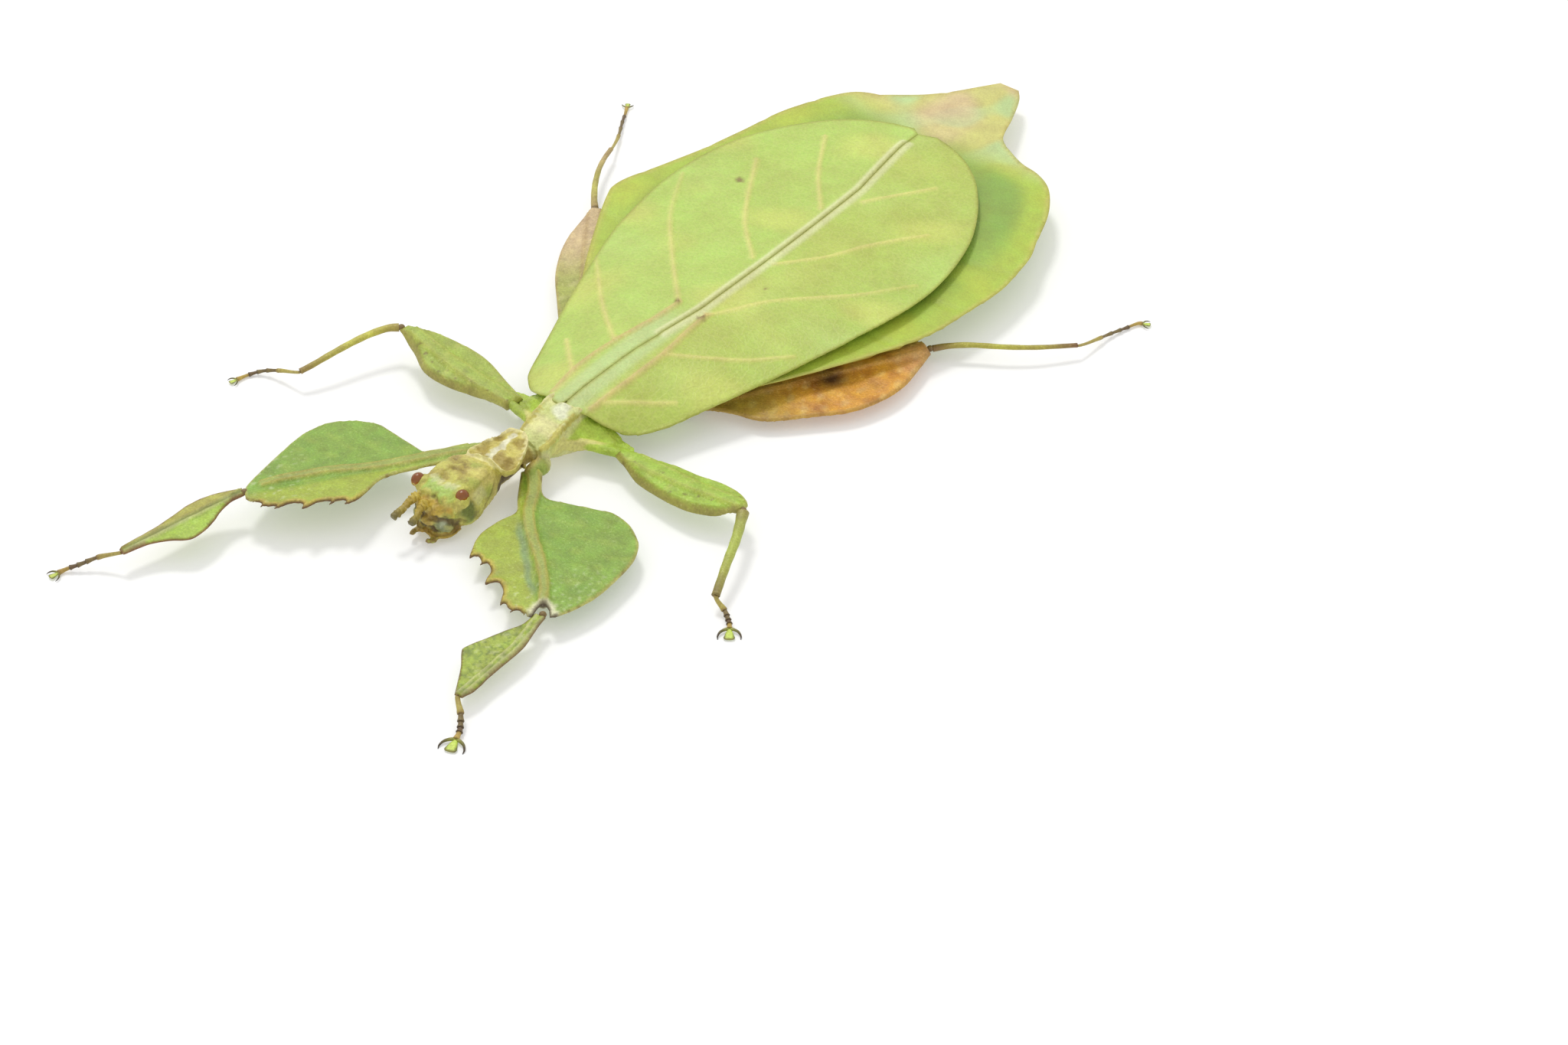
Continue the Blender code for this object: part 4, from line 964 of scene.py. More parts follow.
def olive_femur(flat, rim, keel, between):
    """Duller olive green, with the same front."""
    tints = blotched(flat, "#9FB040", "#8FA236", "#B9BE58", 2.0)
    return olive_front(tints, flat, rim, keel)


def olive_front(tints, flat, rim, keel):
    """An olive front flange, partly painted shade where it turns down, lighter keels and a few brown specks
    laid over the tints.
    """
    # The flange's own olive together with painted shade: darker along the front edge, where it turns down.
    front = step_up(-flat[:, 1], 0.0, 0.4)
    tints = mixed(tints, "#9C9242", 0.9 * front * step_down(rim, 0.22, 0.45))
    tints = mixed(tints, "#B5B84E", 0.5 * step_down(keel, 0.08, 0.3))
    tints = mixed(tints, "#BDB65A", 0.6 * (1 - front) * step_down(rim, 0.08, 0.3))
    specks = step_up(waves(flat * SHORT_FEMUR_SPREAD, 0.5, 61), 0.95, 1.15)
    return mixed(tints, "#6B4A22", 0.7 * specks)


def dry_femur(flat, rim, keel, between):
    """Faded to orange brown with one dark blotch, and a little greyer at the knee."""
    u, v = flat.T
    tints = blotched(flat, "#D6972A", "#A86C1A", "#DDB66A", 1.8)
    tints = mixed(tints, "#9A9440", 0.6 * step_down(u, 0.15, 0.5))
    blotch = np.exp(-(((u - 0.55) / 0.07) ** 2) - (((v + 1.2) / 1.3) ** 2))
    tints = mixed(tints, "#4A2A10", blotch)
    tints = mixed(tints, "#C9A88E", 0.3 * step_up(u, 0.78, 0.95))
    tints = mixed(tints, "#C99B4A", 0.5 * step_down(keel, 0.1, 0.35))
    return mixed(tints, "#A9853C", 0.6 * step_down(rim, 0.1, 0.5))


def pale_femur(flat, rim, keel, between):
    """Olive at the hip, faded to pinkish tan at the knee."""
    tints = blotched(flat, "#A9AE4E", "#98A044", "#C4C07A", 2.0)
    tints = mixed(tints, "#D6B890", 0.85 * step_up(flat[:, 0], 0.45, 0.8))
    tints = mixed(tints, "#B79A5E", 0.6 * step_down(keel, 0.08, 0.3))
    return mixed(tints, "#B5985C", 0.6 * step_down(rim, 0.08, 0.3))


def fore_shin(flat, rim, keel, between):
    """Olive green with wormlike wrinkles, pale keels and a thin brown edge."""
    spread = flat * SHIN_SPREAD
    tints = even(flat, "#9DAE36")
    worms = np.abs(waves(spread, 0.8, 14))
    tints = mixed(tints, "#71842A", 0.85 * step_down(worms, 0.05, 0.35))
    tints = mixed(tints, "#C3C98A", 0.5 * step_up(waves(spread, 0.5, 15), 0.4, 0.9))
    tints = mixed(tints, "#CBC98C", 0.6 * step_down(keel, 0.05, 0.18))
    return mixed(tints, "#7A5A2A", 0.95 * step_down(rim, 0.02, 0.15))


def striped_shin(flat, rim, keel, between):
    """Olive tan behind and bright green in front, with a darker streak between."""
    v = flat[:, 1]
    tints = fore_shin(flat, rim, keel, between)
    tints = mixed(tints, "#B2A84A", 0.75 * step_up(v, 0.1, 0.4))
    tints = mixed(tints, "#A6C63C", 0.7 * step_up(-v, 0.1, 0.4))
    tints = mixed(tints, "#70702E", 0.6 * step_down(np.abs(v - 0.05), 0.05, 0.25))
    return mixed(tints, "#7E4A2A", 0.95 * step_down(rim, 0.03, 0.22))


FEMUR_PAINTS = {
    "fore_left": notched_femur, "fore_right": toothed_femur,
    "mid_left": bright_femur, "mid_right": olive_femur,
    "hind_left": dry_femur, "hind_right": pale_femur,
}
FORE_SHIN_PAINTS = {"fore_left": fore_shin, "fore_right": striped_shin}
# Shin tints from knee to ankle
SHIN_TINTS = {
    "mid_left": ("#8E8240", "#A6B048", "#ABB64A", "#A3A544", "#8A7A3A"),
    "mid_right": ("#9A8640", "#BBB446", "#BDB84A", "#A89C42", "#8A7036"),
    "hind_left": ("#7E5C30", "#A8A038", "#AEA83C", "#A89C3E", "#7A5430"),
    "hind_right": ("#A58A52", "#B4AC50", "#B0A84C", "#B8A268", "#A08850"),
}


def tube(rows, sides, hex_colours, floor=None):
    """A loft whose tint runs through these colours from its start to its end."""
    points, faces = loft(rows, sides, floor=floor)
    shares = np.repeat(np.linspace(0, 1, len(rows)), sides)
    keys = np.linspace(0, 1, len(hex_colours))
    table = np.array([linear(colour) for colour in hex_colours])
    tints = np.column_stack([np.interp(shares, keys, table[:, axis]) for axis in range(3)])
    return points, faces, tints


SHIN_RINGS = 80
SHIN_SIDES = 20


def shin(leg):
    """A slender oval shin, a little stouter at its ends, with painted shade making it browner along its
    lower side.
    """
    path = smooth(leg["shin"], 8)
    wide, narrow = leg["shin_radii"]
    rows = []
    for share in np.linspace(-0.01, 1.0, SHIN_RINGS):
        radius = wide + (narrow - wide) * share
        radius *= 1 + 0.12 * abs(2 * share - 1) ** 6 + 0.03 * math.sin(share * 37)
        rows.append((*point_at(path, share), radius, radius * 0.8))
    points, faces, tints = tube(rows, SHIN_SIDES, SHIN_TINTS[leg["name"]])
    middle = np.repeat(np.array(rows)[:, 2], SHIN_SIDES)
    # Painted shade: browner below the middle of each ring.
    low = step_up(middle - points[:, 2], 0.0, 0.25)
    return points, faces, mixed(tints, "#8A6A34", 0.6 * low)


# Where the five foot segments meet, as shares of the foot's length
FOOT_SEGMENT_ENDS = (0.0, 0.42, 0.58, 0.71, 0.82, 1.0)
# Half widths along one foot segment, as shares of the foot's own.
FOOT_FLARE = (
    (-0.06, 0.55), (0.05, 0.68), (0.35, 0.72), (0.7, 0.86), (0.88, 1.0), (0.97, 0.94), (1.01, 0.6),
)
# Tints along each segment
FOOT_TINTS = (
    ("#7A5C30", "#A8984A", "#AC9C4A", "#98823E", "#5C4222"),
    ("#6E5A32", "#7E6C3A", "#4E3C22"),
    ("#64502E", "#746236", "#483620"),
    ("#60482C", "#6E5834", "#46341E"),
    ("#98803A", "#B89A44", "#86702E"),
)


def foot(leg):
    """Five flared segments that come down to the floor, then two claws beside a pad."""
    path = smooth([leg["shin"][-1], *leg["foot"]], 10)
    shapes = []
    for start, end, colours in zip(FOOT_SEGMENT_ENDS, FOOT_SEGMENT_ENDS[1:], FOOT_TINTS):
        rows = []
        for share, width in FOOT_FLARE:
            radius = leg["foot_radius"] * width
            rows.append((*point_at(path, start + (end - start) * share), radius, radius * 0.95))
        shapes.append(tube(smooth(rows, 3), 16, colours, floor=0.0))
    scale = leg["toe_scale"]
    return joined([*shapes, *claws(path, scale), foot_pad(path, scale)])


def toe_frame(path):
    """The last point of the foot, its level direction and the direction to its left."""
    toe = path[-1]
    forward = unit((path[-1] - path[-6]) * (1, 1, 0))
    return toe, forward, np.cross(UP, forward)


# One claw beyond the toe: forward, aside and up, then its half thickness
CLAW = (
    (-0.05, 0.06, 0.0, 0.15), (0.1, 0.4, 0.04, 0.15), (0.4, 0.82, 0.0, 0.12), (0.85, 1.05, -0.1, 0.08),
    (1.2, 1.04, -0.22, 0.03),
)
CLAW_TINTS = ("#A3A546", "#7D7A34", "#4A3A1E", "#2A1E12")
# The pad between the claws: forward, half width, half thickness
PAD = (
    (0.0, 0.16, 0.16), (0.35, 0.3, 0.16), (0.8, 0.44, 0.14), (1.1, 0.52, 0.12), (1.3, 0.44, 0.09),
    (1.38, 0.2, 0.04),
)
PAD_DROP = 0.08


def claws(path, scale):
    """Two curved claws that spread from the toe and bend down at their tips."""
    toe, forward, aside = toe_frame(path)
    shapes = []
    for side in (1, -1):
        rows = []
        for ahead, out, up, thick in smooth(CLAW, 6):
            place = toe + (forward * ahead + aside * side * out + UP * up) * scale
            rows.append((*place, thick * scale, thick * scale))
        shapes.append(tube(rows, 12, CLAW_TINTS, floor=0.0))
    return shapes


def foot_pad(path, scale):
    """The bright pad between the claws, darker at its sides and its tip."""
    toe, forward, aside = toe_frame(path)
    rows = []
    for ahead, wide, thick in smooth(PAD, 5):
        place = toe + (forward * ahead - UP * PAD_DROP) * scale
        rows.append((*place, wide * scale, thick * scale))
    points, faces = loft(rows, 24, facing=forward, floor=0.0)
    ahead, out = (points - toe) @ forward / scale, np.abs((points - toe) @ aside) / scale
    tints = even(points, "#C6DA5C")
    tints = mixed(tints, "#5C5426", 0.85 * step_up(out, 0.22, 0.45))
    tints = mixed(tints, "#7A6A34", 0.8 * step_up(ahead, 1.15, 1.35))
    return points, faces, tints


def femur(leg):
    """The thigh from its base to the knee."""
    paint = FEMUR_PAINTS[leg["name"]]
    return leaf(leg["femur"], leg["base"], leg["knee"], leg["side"], leg["tilt"], leg["spread"], paint)


KNEE_RADII = (0.32, 0.32, 0.28)
KNEE_LIFT = 0.05


def lower_leg(leg):
    """The shin with the dark joint that sits in the end of the femur."""
    if leg["tibia"]:
        paint = FORE_SHIN_PAINTS[leg["name"]]
        start, end = leg["shin"]
        lower = leaf(leg["tibia"], start, end, leg["side"], (0, 0), (1, 1), paint)
    else:
        lower = shin(leg)
    middle = np.array(leg["knee"]) * 0.5 + np.array(leg["shin"][0]) * 0.5
    points, faces = ball(middle + UP * KNEE_LIFT, KNEE_RADII)
    return joined([(points, faces, even(points, "#7A6232")), lower])


# Head, thorax and the roots of the legs, grown together into one skin

# The middle of each ring of the skull, its half width and half height, from the neck to the face
HEAD_ROWS = (
    (-0.2, -9.2, 2.9, 1.5, 1.3),
    (-0.6, -9.9, 2.8, 2.05, 1.8),
    (-0.8, -10.8, 2.7, 2.4, 2.05),
    (-0.85, -12.2, 2.6, 2.6, 2.15),
    (-0.9, -13.6, 2.5, 2.5, 2.1),
    (-0.95, -14.8, 2.35, 2.3, 1.95),
    (-0.95, -15.6, 2.2, 1.9, 1.6),
    (-0.9, -16.2, 2.1, 1.2, 1.0),
)
HEAD_MIDDLE_X = -0.88
HEAD_SQUARENESS = 0.78
SKIN_VOXEL = 0.09
# Lobes on both sides of the head: how far out, y, z, then the three radii.
PAIRED_LOBES = {
    "brow": (1.15, -12.2, 4.2, 1.1, 2.5, 0.62),
    "socket": (2.05, -14.15, 3.65, 0.72, 0.85, 0.75),
    "cheek": (1.75, -13.0, 2.1, 1.05, 2.0, 1.45),
    "shield": (0.8, -14.85, 3.85, 0.78, 0.72, 0.5),
    "bulb": (0.62, -15.75, 3.2, 0.5, 0.55, 0.5),
    "side_bulb": (1.35, -15.2, 2.95, 0.5, 0.5, 0.42),
    "jaw": (1.15, -15.4, 1.7, 1.0, 0.78, 0.8),
}
LABRUM = (HEAD_MIDDLE_X + 0.1, -16.35, 2.1, 0.8, 0.5, 0.42)
CHIN = (HEAD_MIDDLE_X, -15.0, 0.95, 1.5, 1.3, 0.6)
# The lower lip and a palp, as the points of their middle lines on the left side
LIP = (
    (0.1, -16.5, 1.0), (0.75, -16.4, 0.75), (1.45, -15.8, 0.72), (1.9, -15.1, 0.85),
    (2.0, -14.5, 1.1),
)
PALP = ((0.75, -15.8, 0.8), (1.05, -16.5, 0.62), (0.95, -17.1, 0.75), (0.8, -17.4, 0.95))
LIP_RADII = (0.27, 0.24)
PALP_RADIUS = 0.24
# A jaw is an oval on the face: its middle and its two half lengths
JAW_CENTRE = (1.2, -15.65, 1.7)
JAW_LONG = np.array([0.79, 0.59, -0.18]) * 1.22
JAW_SHORT = np.array([0.1, -0.2, 0.97]) * 0.74
EYES = {"left": (1.18, -14.05, 4.05), "right": (-3.38, -14.4, 3.9)}
EYE_RADIUS = 0.63
EYE_SOCKET_RADII = (0.66, 0.66, 0.56)
EYE_SOCKET_DROP = 0.12


def jaw_ring(side):
    """The outline of one jaw on the face."""
    turns = np.linspace(0, 2 * math.pi, 25)
    ring = np.outer(np.cos(turns), JAW_LONG) + np.outer(np.sin(turns), JAW_SHORT)
    return np.array([head_place(side, np.array(JAW_CENTRE) + place) for place in ring])


def head_place(side, place):
    """A place given on the left of the head's middle, on this side."""
    return np.array([HEAD_MIDDLE_X + side * place[0], place[1], place[2]])


def head_line(side, line, steps):
    return smooth([head_place(side, place) for place in line], steps)


def head_shapes():
    """The skull, its paired lobes, lips, palps and the rims round the eyes."""
    shapes = [loft(smooth(HEAD_ROWS, 5), 48, facing=HEAD_WARD, squareness=HEAD_SQUARENESS)]
    for side in (1, -1):
        for lobe in PAIRED_LOBES.values():
            shapes.append(ball(head_place(side, lobe[:3]), lobe[3:]))
        shapes.append(loft([(*point, *LIP_RADII) for point in head_line(side, LIP, 6)], 14))
        palp = head_line(side, PALP, 6)
        radii = PALP_RADIUS + 0.05 * np.abs(np.sin(np.linspace(0.3, 3 * np.pi, len(palp))))
        shapes.append(loft([(*point, radius, radius) for point, radius in zip(palp, radii)], 14))
    for middle in (LABRUM, CHIN):
        shapes.append(ball(middle[:3], middle[3:]))
    for place in EYES.values():
        shapes.append(ball(np.array(place) - UP * EYE_SOCKET_DROP, EYE_SOCKET_RADII))
    return shapes


# Outlines of the neck shield and of the thorax's flat top, and what is raised or sunk on them: x, y
PRONOTUM_RING = (
    (-1.2, -4.85), (0.0, -4.8), (1.05, -5.4), (1.75, -6.6), (2.2, -7.9), (2.35, -8.8), (1.95, -9.6),
    (1.2, -9.7), (0.3, -9.5), (-0.6, -9.6), (-1.7, -9.85), (-2.35, -9.3), (-2.15, -8.0), (-1.7, -6.4),
)
PRONOTUM_RIM = 0.42
PRONOTUM_CROWN = 4.62
FURROW = ((-0.45, -5.4), (-0.42, -7.0), (-0.36, -9.3))
CROSS_FURROWS = (((-1.5, -7.5), (-0.4, -7.2), (1.0, -7.5)), ((-1.6, -9.3), (-0.3, -9.0), (1.7, -9.25)))
PITS = ((-1.4, -8.3), (0.6, -8.5), (0.5, -6.1), (-1.2, -6.4), (1.5, -8.6))
BACK_RING = (
    (-1.35, -4.35), (0.2, -4.45), (1.75, -4.7), (1.95, -3.3), (1.75, -1.6), (1.6, -0.2), (1.7, 1.3),
    (0.0, 2.0), (-1.9, 1.6), (-1.85, -0.5), (-1.75, -2.2), (-1.55, -3.4),
)
BACK_RIDGES = (
    ((1.35, 0.7), (1.45, -0.6), (1.6, -2.0), (1.75, -3.4), (1.7, -4.5)),
    ((-1.7, 0.7), (-1.65, -0.7), (-1.6, -2.3), (-1.45, -3.4), (-1.2, -4.2)),
)
# A pale flake of shed skin on the thorax
FLAKE_RING = (
    (-0.8, -0.5), (-0.3, 0.35), (0.4, 0.5), (0.95, 0.55), (1.15, -0.1), (1.05, -0.7), (0.2, -1.25),
    (-0.5, -1.0),
)
FLAKE_THICKNESS = 0.16
# The thick front edge of the membrane between the thorax and a middle leg, and its outline: out, y
COXA_RIDGE = ((1.4, -4.5), (1.6, -3.4), (1.85, -2.2), (2.8, -0.85), (4.1, 0.05), (5.2, 0.6), (6.3, 0.9))
COXA_PLATE = (
    (1.0, -4.3), (1.5, -4.1), (1.7, -2.7), (2.8, -1.0), (4.1, -0.12), (5.3, 0.4), (6.2, 0.6), (6.4, 1.9),
    (1.0, 2.2),
)
COXA_EDGE = (0.42, 0.28)
COXA_UNDER_WINGS = 0.55
# Heights of the thorax's flat top: y, z
BACK_CROWN = ((-4.7, 3.3), (-3.0, 3.65), (-1.0, 4.05), (0.3, 4.4), (1.6, 4.4))
PLATE_STEP = 0.16


def pronotum_shape():
    """The neck shield, with a rim, a furrow along it, two across it and a few pits."""
    ring = smooth(PRONOTUM_RING + PRONOTUM_RING[:1], 6)[:-1]

    def surface(flat):
        crown = PRONOTUM_CROWN - 0.1 * (flat[:, 0] + 0.1) ** 2 + 0.1 * waves(flat, 1.6, 41)
        for line in (FURROW, *CROSS_FURROWS):
            crown = crown - ridge(flat, smooth(line, 5), 0.45, 0.3)
        for pit in PITS:
            crown = crown - ridge(flat, np.array([pit]), 0.75, 0.24)
        crown = crown + ridge(flat, closed(ring), PRONOTUM_RIM, 0.36)
        return np.minimum(crown, 5.0), crown - 0.6

    return plain_sheet(ring, surface)


def plain_sheet(ring, surface):
    """A sheet without tints, to be grown together with others."""
    points, faces, _ = sheet(ring, [], PLATE_STEP, surface, lambda flat: np.ones((len(flat), 3)))
    return points, faces


def back_shape():
    """The flat top of the middle thorax, with a ridge along each side and a flake of shed skin."""
    ring = smooth(BACK_RING + BACK_RING[:1], 6)[:-1]
    flake = closed(np.array(FLAKE_RING))

    def surface(flat):
        crown = table_at(BACK_CROWN, flat[:, 1])
        for line in BACK_RIDGES:
            crown = crown + ridge(flat, smooth(line, 5), 0.4, 0.3)
        crown = crown + FLAKE_THICKNESS * step_up(-distance(flat, flake), -0.25, 0)
        crown = crown + FLAKE_THICKNESS * inside(flat, flake[:-1])
        return crown + 0.08 * waves(flat, 1.2, 51), crown - 1.6

    return plain_sheet(ring, surface)


def coxa_plate(side):
    """The membrane between the thorax and a middle leg, with its thick front edge."""
    ring = smooth([(side * x, y) for x, y in COXA_PLATE], 6)
    line = smooth([(side * x, y) for x, y in COXA_RIDGE], 6)

    def surface(flat):
        out = np.abs(flat[:, 0])
        away = distance(flat, line)
        top = 2.35 + 0.95 * step_up(away, 0.2, 1.7) + 0.5 * step_down(out, 1.6, 2.6)
        top = np.minimum(top - 0.22 * step_up(out, 3.0, 6.0), wing_plain(flat) - COXA_UNDER_WINGS)
        half = ridge(flat, line, *COXA_EDGE)
        return top + half, top - 0.4 - half * 1.5

    return plain_sheet(ring, surface)


# Each ring's middle, half width and half height: the thorax from its front, the neck from its rear
BACK_ROWS = (
    (0.1, -4.6, 2.9, 1.1, 0.8),
    (0.15, -3.4, 3.0, 1.6, 1.0),
    (0.0, -1.5, 3.1, 1.8, 1.1),
    (0.0, 0.3, 3.2, 2.0, 1.1),
    (0.0, 1.9, 2.9, 2.1, 1.2),
)
BREAST_ROWS = (
    (0.1, -5.0, 2.5, 0.9, 0.9),
    (0.1, -3.6, 2.3, 1.3, 1.2),
    (0.0, -1.6, 1.9, 1.8, 1.6),
    (0.0, 0.6, 1.5, 2.3, 1.8),
    (0.0, 2.6, 1.4, 2.2, 1.6),
    (0.0, 4.2, 1.3, 1.7, 1.3),
)
NECK_ROWS = (
    (-0.2, -3.8, 2.4, 0.9, 1.0),
    (-0.3, -5.3, 2.4, 1.0, 1.2),
    (-0.4, -7.0, 2.4, 1.2, 1.3),
    (-0.4, -8.8, 2.5, 1.3, 1.3),
    (-0.5, -10.0, 2.5, 1.1, 1.2),
)
NECK_SPUR = ((1.4, -6.6, 2.9, 0.3, 0.3), (1.75, -6.8, 2.95, 0.2, 0.2), (2.0, -7.0, 3.1, 0.08, 0.08))


def chest_shapes():
    """The thorax and neck under their plates."""
    cores = (BACK_ROWS, BREAST_ROWS, NECK_ROWS)
    shapes = [loft(smooth(rows, 4), 32, facing=TAIL_WARD) for rows in cores]
    shapes += [pronotum_shape(), back_shape(), coxa_plate(1), coxa_plate(-1)]
    return shapes + [loft(NECK_SPUR, 12)]


HIP_GIRTH = {"fore": 0.95, "mid": 0.6, "hind": 1.0}
# How the girth changes along a leg's root: share of its length, share of the girth
HIP_TAPER = ((0, 0.95), (0.5, 0.9), (0.62, 0.75), (1, 0.66))
ROOT_REACH = 1.2


def hip_shapes():
    """The root of each leg, from inside the thorax to a little way along the femur."""
    shapes = []
    for leg in LEGS:
        hip, base, knee = (np.array(leg[key]) for key in ("hip", "base", "knee"))
        inner = hip * (0.75, 1, 1)
        path = smooth([inner, hip, base, base + unit(knee - base) * ROOT_REACH], 5)
        girth = HIP_GIRTH[leg["name"].split("_")[0]]
        radii = girth * table_at(HIP_TAPER, np.linspace(0, 1, len(path)))
        shapes.append(loft([(*point, radius, radius * 0.9) for point, radius in zip(path, radii)], 18))
    return shapes


RELAX_ROUNDS = 5
RELAX_SHARE = 0.6


def grown_together(shapes, voxel):
    """One closed surface round all the shapes: its points and faces."""
    points, faces, _ = joined([(points, faces, even(points, "#FFFFFF")) for points, faces in shapes])
    mesh = bpy.data.meshes.new("growing")
    mesh.from_pydata(points.tolist(), [], faces)
    holder = bpy.data.objects.new("growing", mesh)
    bpy.context.scene.collection.objects.link(holder)
    remesh = holder.modifiers.new("grow", "REMESH")
    remesh.mode = "VOXEL"
    remesh.voxel_size = voxel
    graph = bpy.context.evaluated_depsgraph_get()
    grown = bpy.data.meshes.new_from_object(holder.evaluated_get(graph))
    found = np.empty(len(grown.vertices) * 3)
    grown.vertices.foreach_get("co", found)
    faces = [tuple(polygon.vertices) for polygon in grown.polygons]
    bpy.data.objects.remove(holder)
    bpy.data.meshes.remove(grown)
    return relaxed(found.reshape(-1, 3), faces, RELAX_ROUNDS), faces


def relaxed(points, faces, rounds):
    """The points moved towards the middle of their neighbours, a little each round."""
    quads = np.array([face for face in faces if len(face) == 4])
    ends = np.vstack([quads[:, [0, 1]], quads[:, [1, 2]], quads[:, [2, 3]], quads[:, [3, 0]]])
    count = np.bincount(ends.ravel(), minlength=len(points))[:, None].clip(1)
    for _ in range(rounds):
        total = np.zeros_like(points)
        np.add.at(total, ends[:, 0], points[ends[:, 1]])
        np.add.at(total, ends[:, 1], points[ends[:, 0]])
        points = points * (1 - RELAX_SHARE) + total / count * RELAX_SHARE
    return points


def outward(points, faces):
    """The outward direction at each point."""
    quads = np.array([face for face in faces if len(face) == 4])
    a, b, c, d = (points[quads[:, i]] for i in range(4))
    normals = np.cross(c - a, d - b)
    total = np.zeros_like(points)
    for corner in range(4):
        np.add.at(total, quads[:, corner], normals)
    return total / np.linalg.norm(total, axis=1)[:, None].clip(1e-9)


def granules(points, size):
    """Rounded grains of about this size: 1 at the middle of each, falling to 0 between them."""
    nearest = [noise.voronoi(Vector(point / size))[0][0] for point in points]
    return 1 - np.clip(np.array(nearest) * 1.5, 0, 1) ** 2


def wrinkles(points, size):
    """Uneven folds of about this size, from 0 to 1."""
    return np.array([noise.turbulence(Vector(point / size), 3, False) for point in points])


def daub(tints, points, line, radius, hex_colour, weight=1.0):
    """Colour laid along a line, strongest on it and ragged where it ends."""
    away = distance(points, line) / radius + 0.3 * waves(points, radius * 0.8, 23)
    return mixed(tints, hex_colour, weight * step_down(away, 0.45, 1.1))


def raised_to(z, flat_line):
    """The flat line at this height."""
    return [(x, y, z) for x, y in flat_line]


# Seams pressed into the head, on the left side and then mirrored, dark only from the painted shade laid in
# all hollows: out, y, z
HEAD_SEAMS = (
    ((0.0, -15.3, 3.9), (0.7, -15.35, 3.8), (1.35, -15.0, 3.55), (1.75, -14.6, 3.2)),
    ((0.3, -16.0, 2.5), (1.0, -15.95, 2.55), (1.75, -15.35, 2.45), (2.3, -14.6, 2.0)),
    ((0.35, -16.45, 1.3), (1.1, -16.3, 1.05), (1.9, -15.5, 0.95), (2.35, -14.6, 1.3)),
    ((2.35, -14.6, 1.3), (2.5, -14.2, 1.7), (2.3, -14.6, 2.0)),
    ((1.5, -9.7, 4.1), (2.3, -10.4, 3.2), (2.5, -11.4, 2.2), (2.6, -13.0, 1.4)),
)
# Creases on the top of the head: x, y, z
HEAD_TOP_CREASES = (
    ((-2.4, -10.8, 4.6), (-1.9, -11.2, 4.8), (-1.2, -11.1, 4.8), (-0.6, -11.5, 4.8)),
    ((-1.4, -12.1, 4.75), (-0.7, -12.0, 4.8), (-0.1, -12.3, 4.7), (0.2, -12.9, 4.4)),
    ((-2.6, -13.4, 4.3), (-1.9, -13.2, 4.5), (-1.2, -13.5, 4.5)),
)
# How far each groove reaches to each side, and its depth
SEAM_GROOVE = (0.26, 0.14)
JAW_GROOVE = (0.42, 0.2)
CREASE_GROOVE = (0.3, 0.1)


def sculpted(points, faces):
    """The grown skin with its seams pressed in and its grain raised."""
    normals = outward(points, faces)
    y = points[:, 1]
    head = step_down(y, -10.2, -9.6)
    face = head * step_down(y, -14.9, -14.2) * step_up(points[:, 2], 2.2, 2.8)
    height = 0.05 * head * (wrinkles(points, 1.3) - 0.5)
    height = height + 0.11 * face * (granules(points, 0.42) - 0.4)
    height = height + (0.03 + 0.03 * head) * (granules(points, 0.3) - 0.5)
    thorax = step_up(y, -9.6, -9.2)
    height = height + 0.05 * thorax * (wrinkles(points, 1.1) - 0.5)
    for side in (1, -1):
        for seam_line in HEAD_SEAMS:
            height = height - ridge(points, head_line(side, seam_line, 5), *SEAM_GROOVE)
        height = height - ridge(points, jaw_ring(side), *JAW_GROOVE)
    for crease in HEAD_TOP_CREASES:
        height = height - ridge(points, smooth(crease, 5), *CREASE_GROOVE)
    return points + normals * height[:, None], height


LEG_ROOT_TINTS = {
    "fore_left": "#93A83E", "fore_right": "#93A83E", "mid_left": "#A2BE38", "mid_right": "#9FB040",
    "hind_left": "#9A9440", "hind_right": "#A9AE4E",
}


def edge_weight(points, side):
    """How much a point belongs to the thick front edge of a middle leg's membrane."""
    line = smooth([(side * x, y) for x, y in COXA_RIDGE], 4)
    return near(points[:, :2], line, 0.2, 0.45) * step_down(points[:, 2], 3.0, 3.4)


def body_tints(points, height):
    """Pale thorax, tan neck shield and head, leg roots in their legs' tints, and painted shade in the
    hollows.
    """
    x, y = np.abs(points[:, 0]), points[:, 1]
    tints = even(points, "#D9D592")
    tints = mixed(tints, "#C6D07C", 0.75 * step_up(waves(points, 2.2, 3), -0.2, 0.6))
    tints = mixed(tints, "#B4CC44", step_up(x, 1.72, 2.05) * step_up(y, -4.0, -3.2))
    tints = mixed(tints, "#BCAA58", step_down(y, -5.0, -4.6))
    for side in (1, -1):
        tints = mixed(tints, "#D6D07A", 0.95 * edge_weight(points, side))
    for line in BACK_RIDGES:
        crest = [(ridge_x, ridge_y, 3.6 + 0.12 * (ridge_y + 4)) for ridge_x, ridge_y in line]
        tints = daub(tints, points, smooth(crest, 4), 0.42, "#C6BC5C")
    tints = daub(tints, points, [(0.2, -0.2, 4.3), (0.4, -0.4, 4.3)], 0.95, "#EDF0D0", 0.85)
    for leg in LEGS:
        root = near(points, [leg["base"]], 1.1, 2.0) * step_up(x, 1.5, 2.2)
        tints = mixed(tints, LEG_ROOT_TINTS[leg["name"]], 0.95 * root)
    tints = painted_pronotum(tints, points)
    tints = painted_head(tints, points)
    # Painted shade: darker brown wherever the sculpted skin is pressed in, in seams, grooves, creases and
    # pits.
    return mixed(tints, "#7A652E", 0.6 * step_up(-height, 0.04, 0.16))


# Where shade is painted in the hollow under the neck shield's left edge: x, y, z
NECK_SHADE_PLACES = ((1.5, -8.4, 2.3), (1.2, -9.3, 2.4), (1.0, -7.4, 2.6))


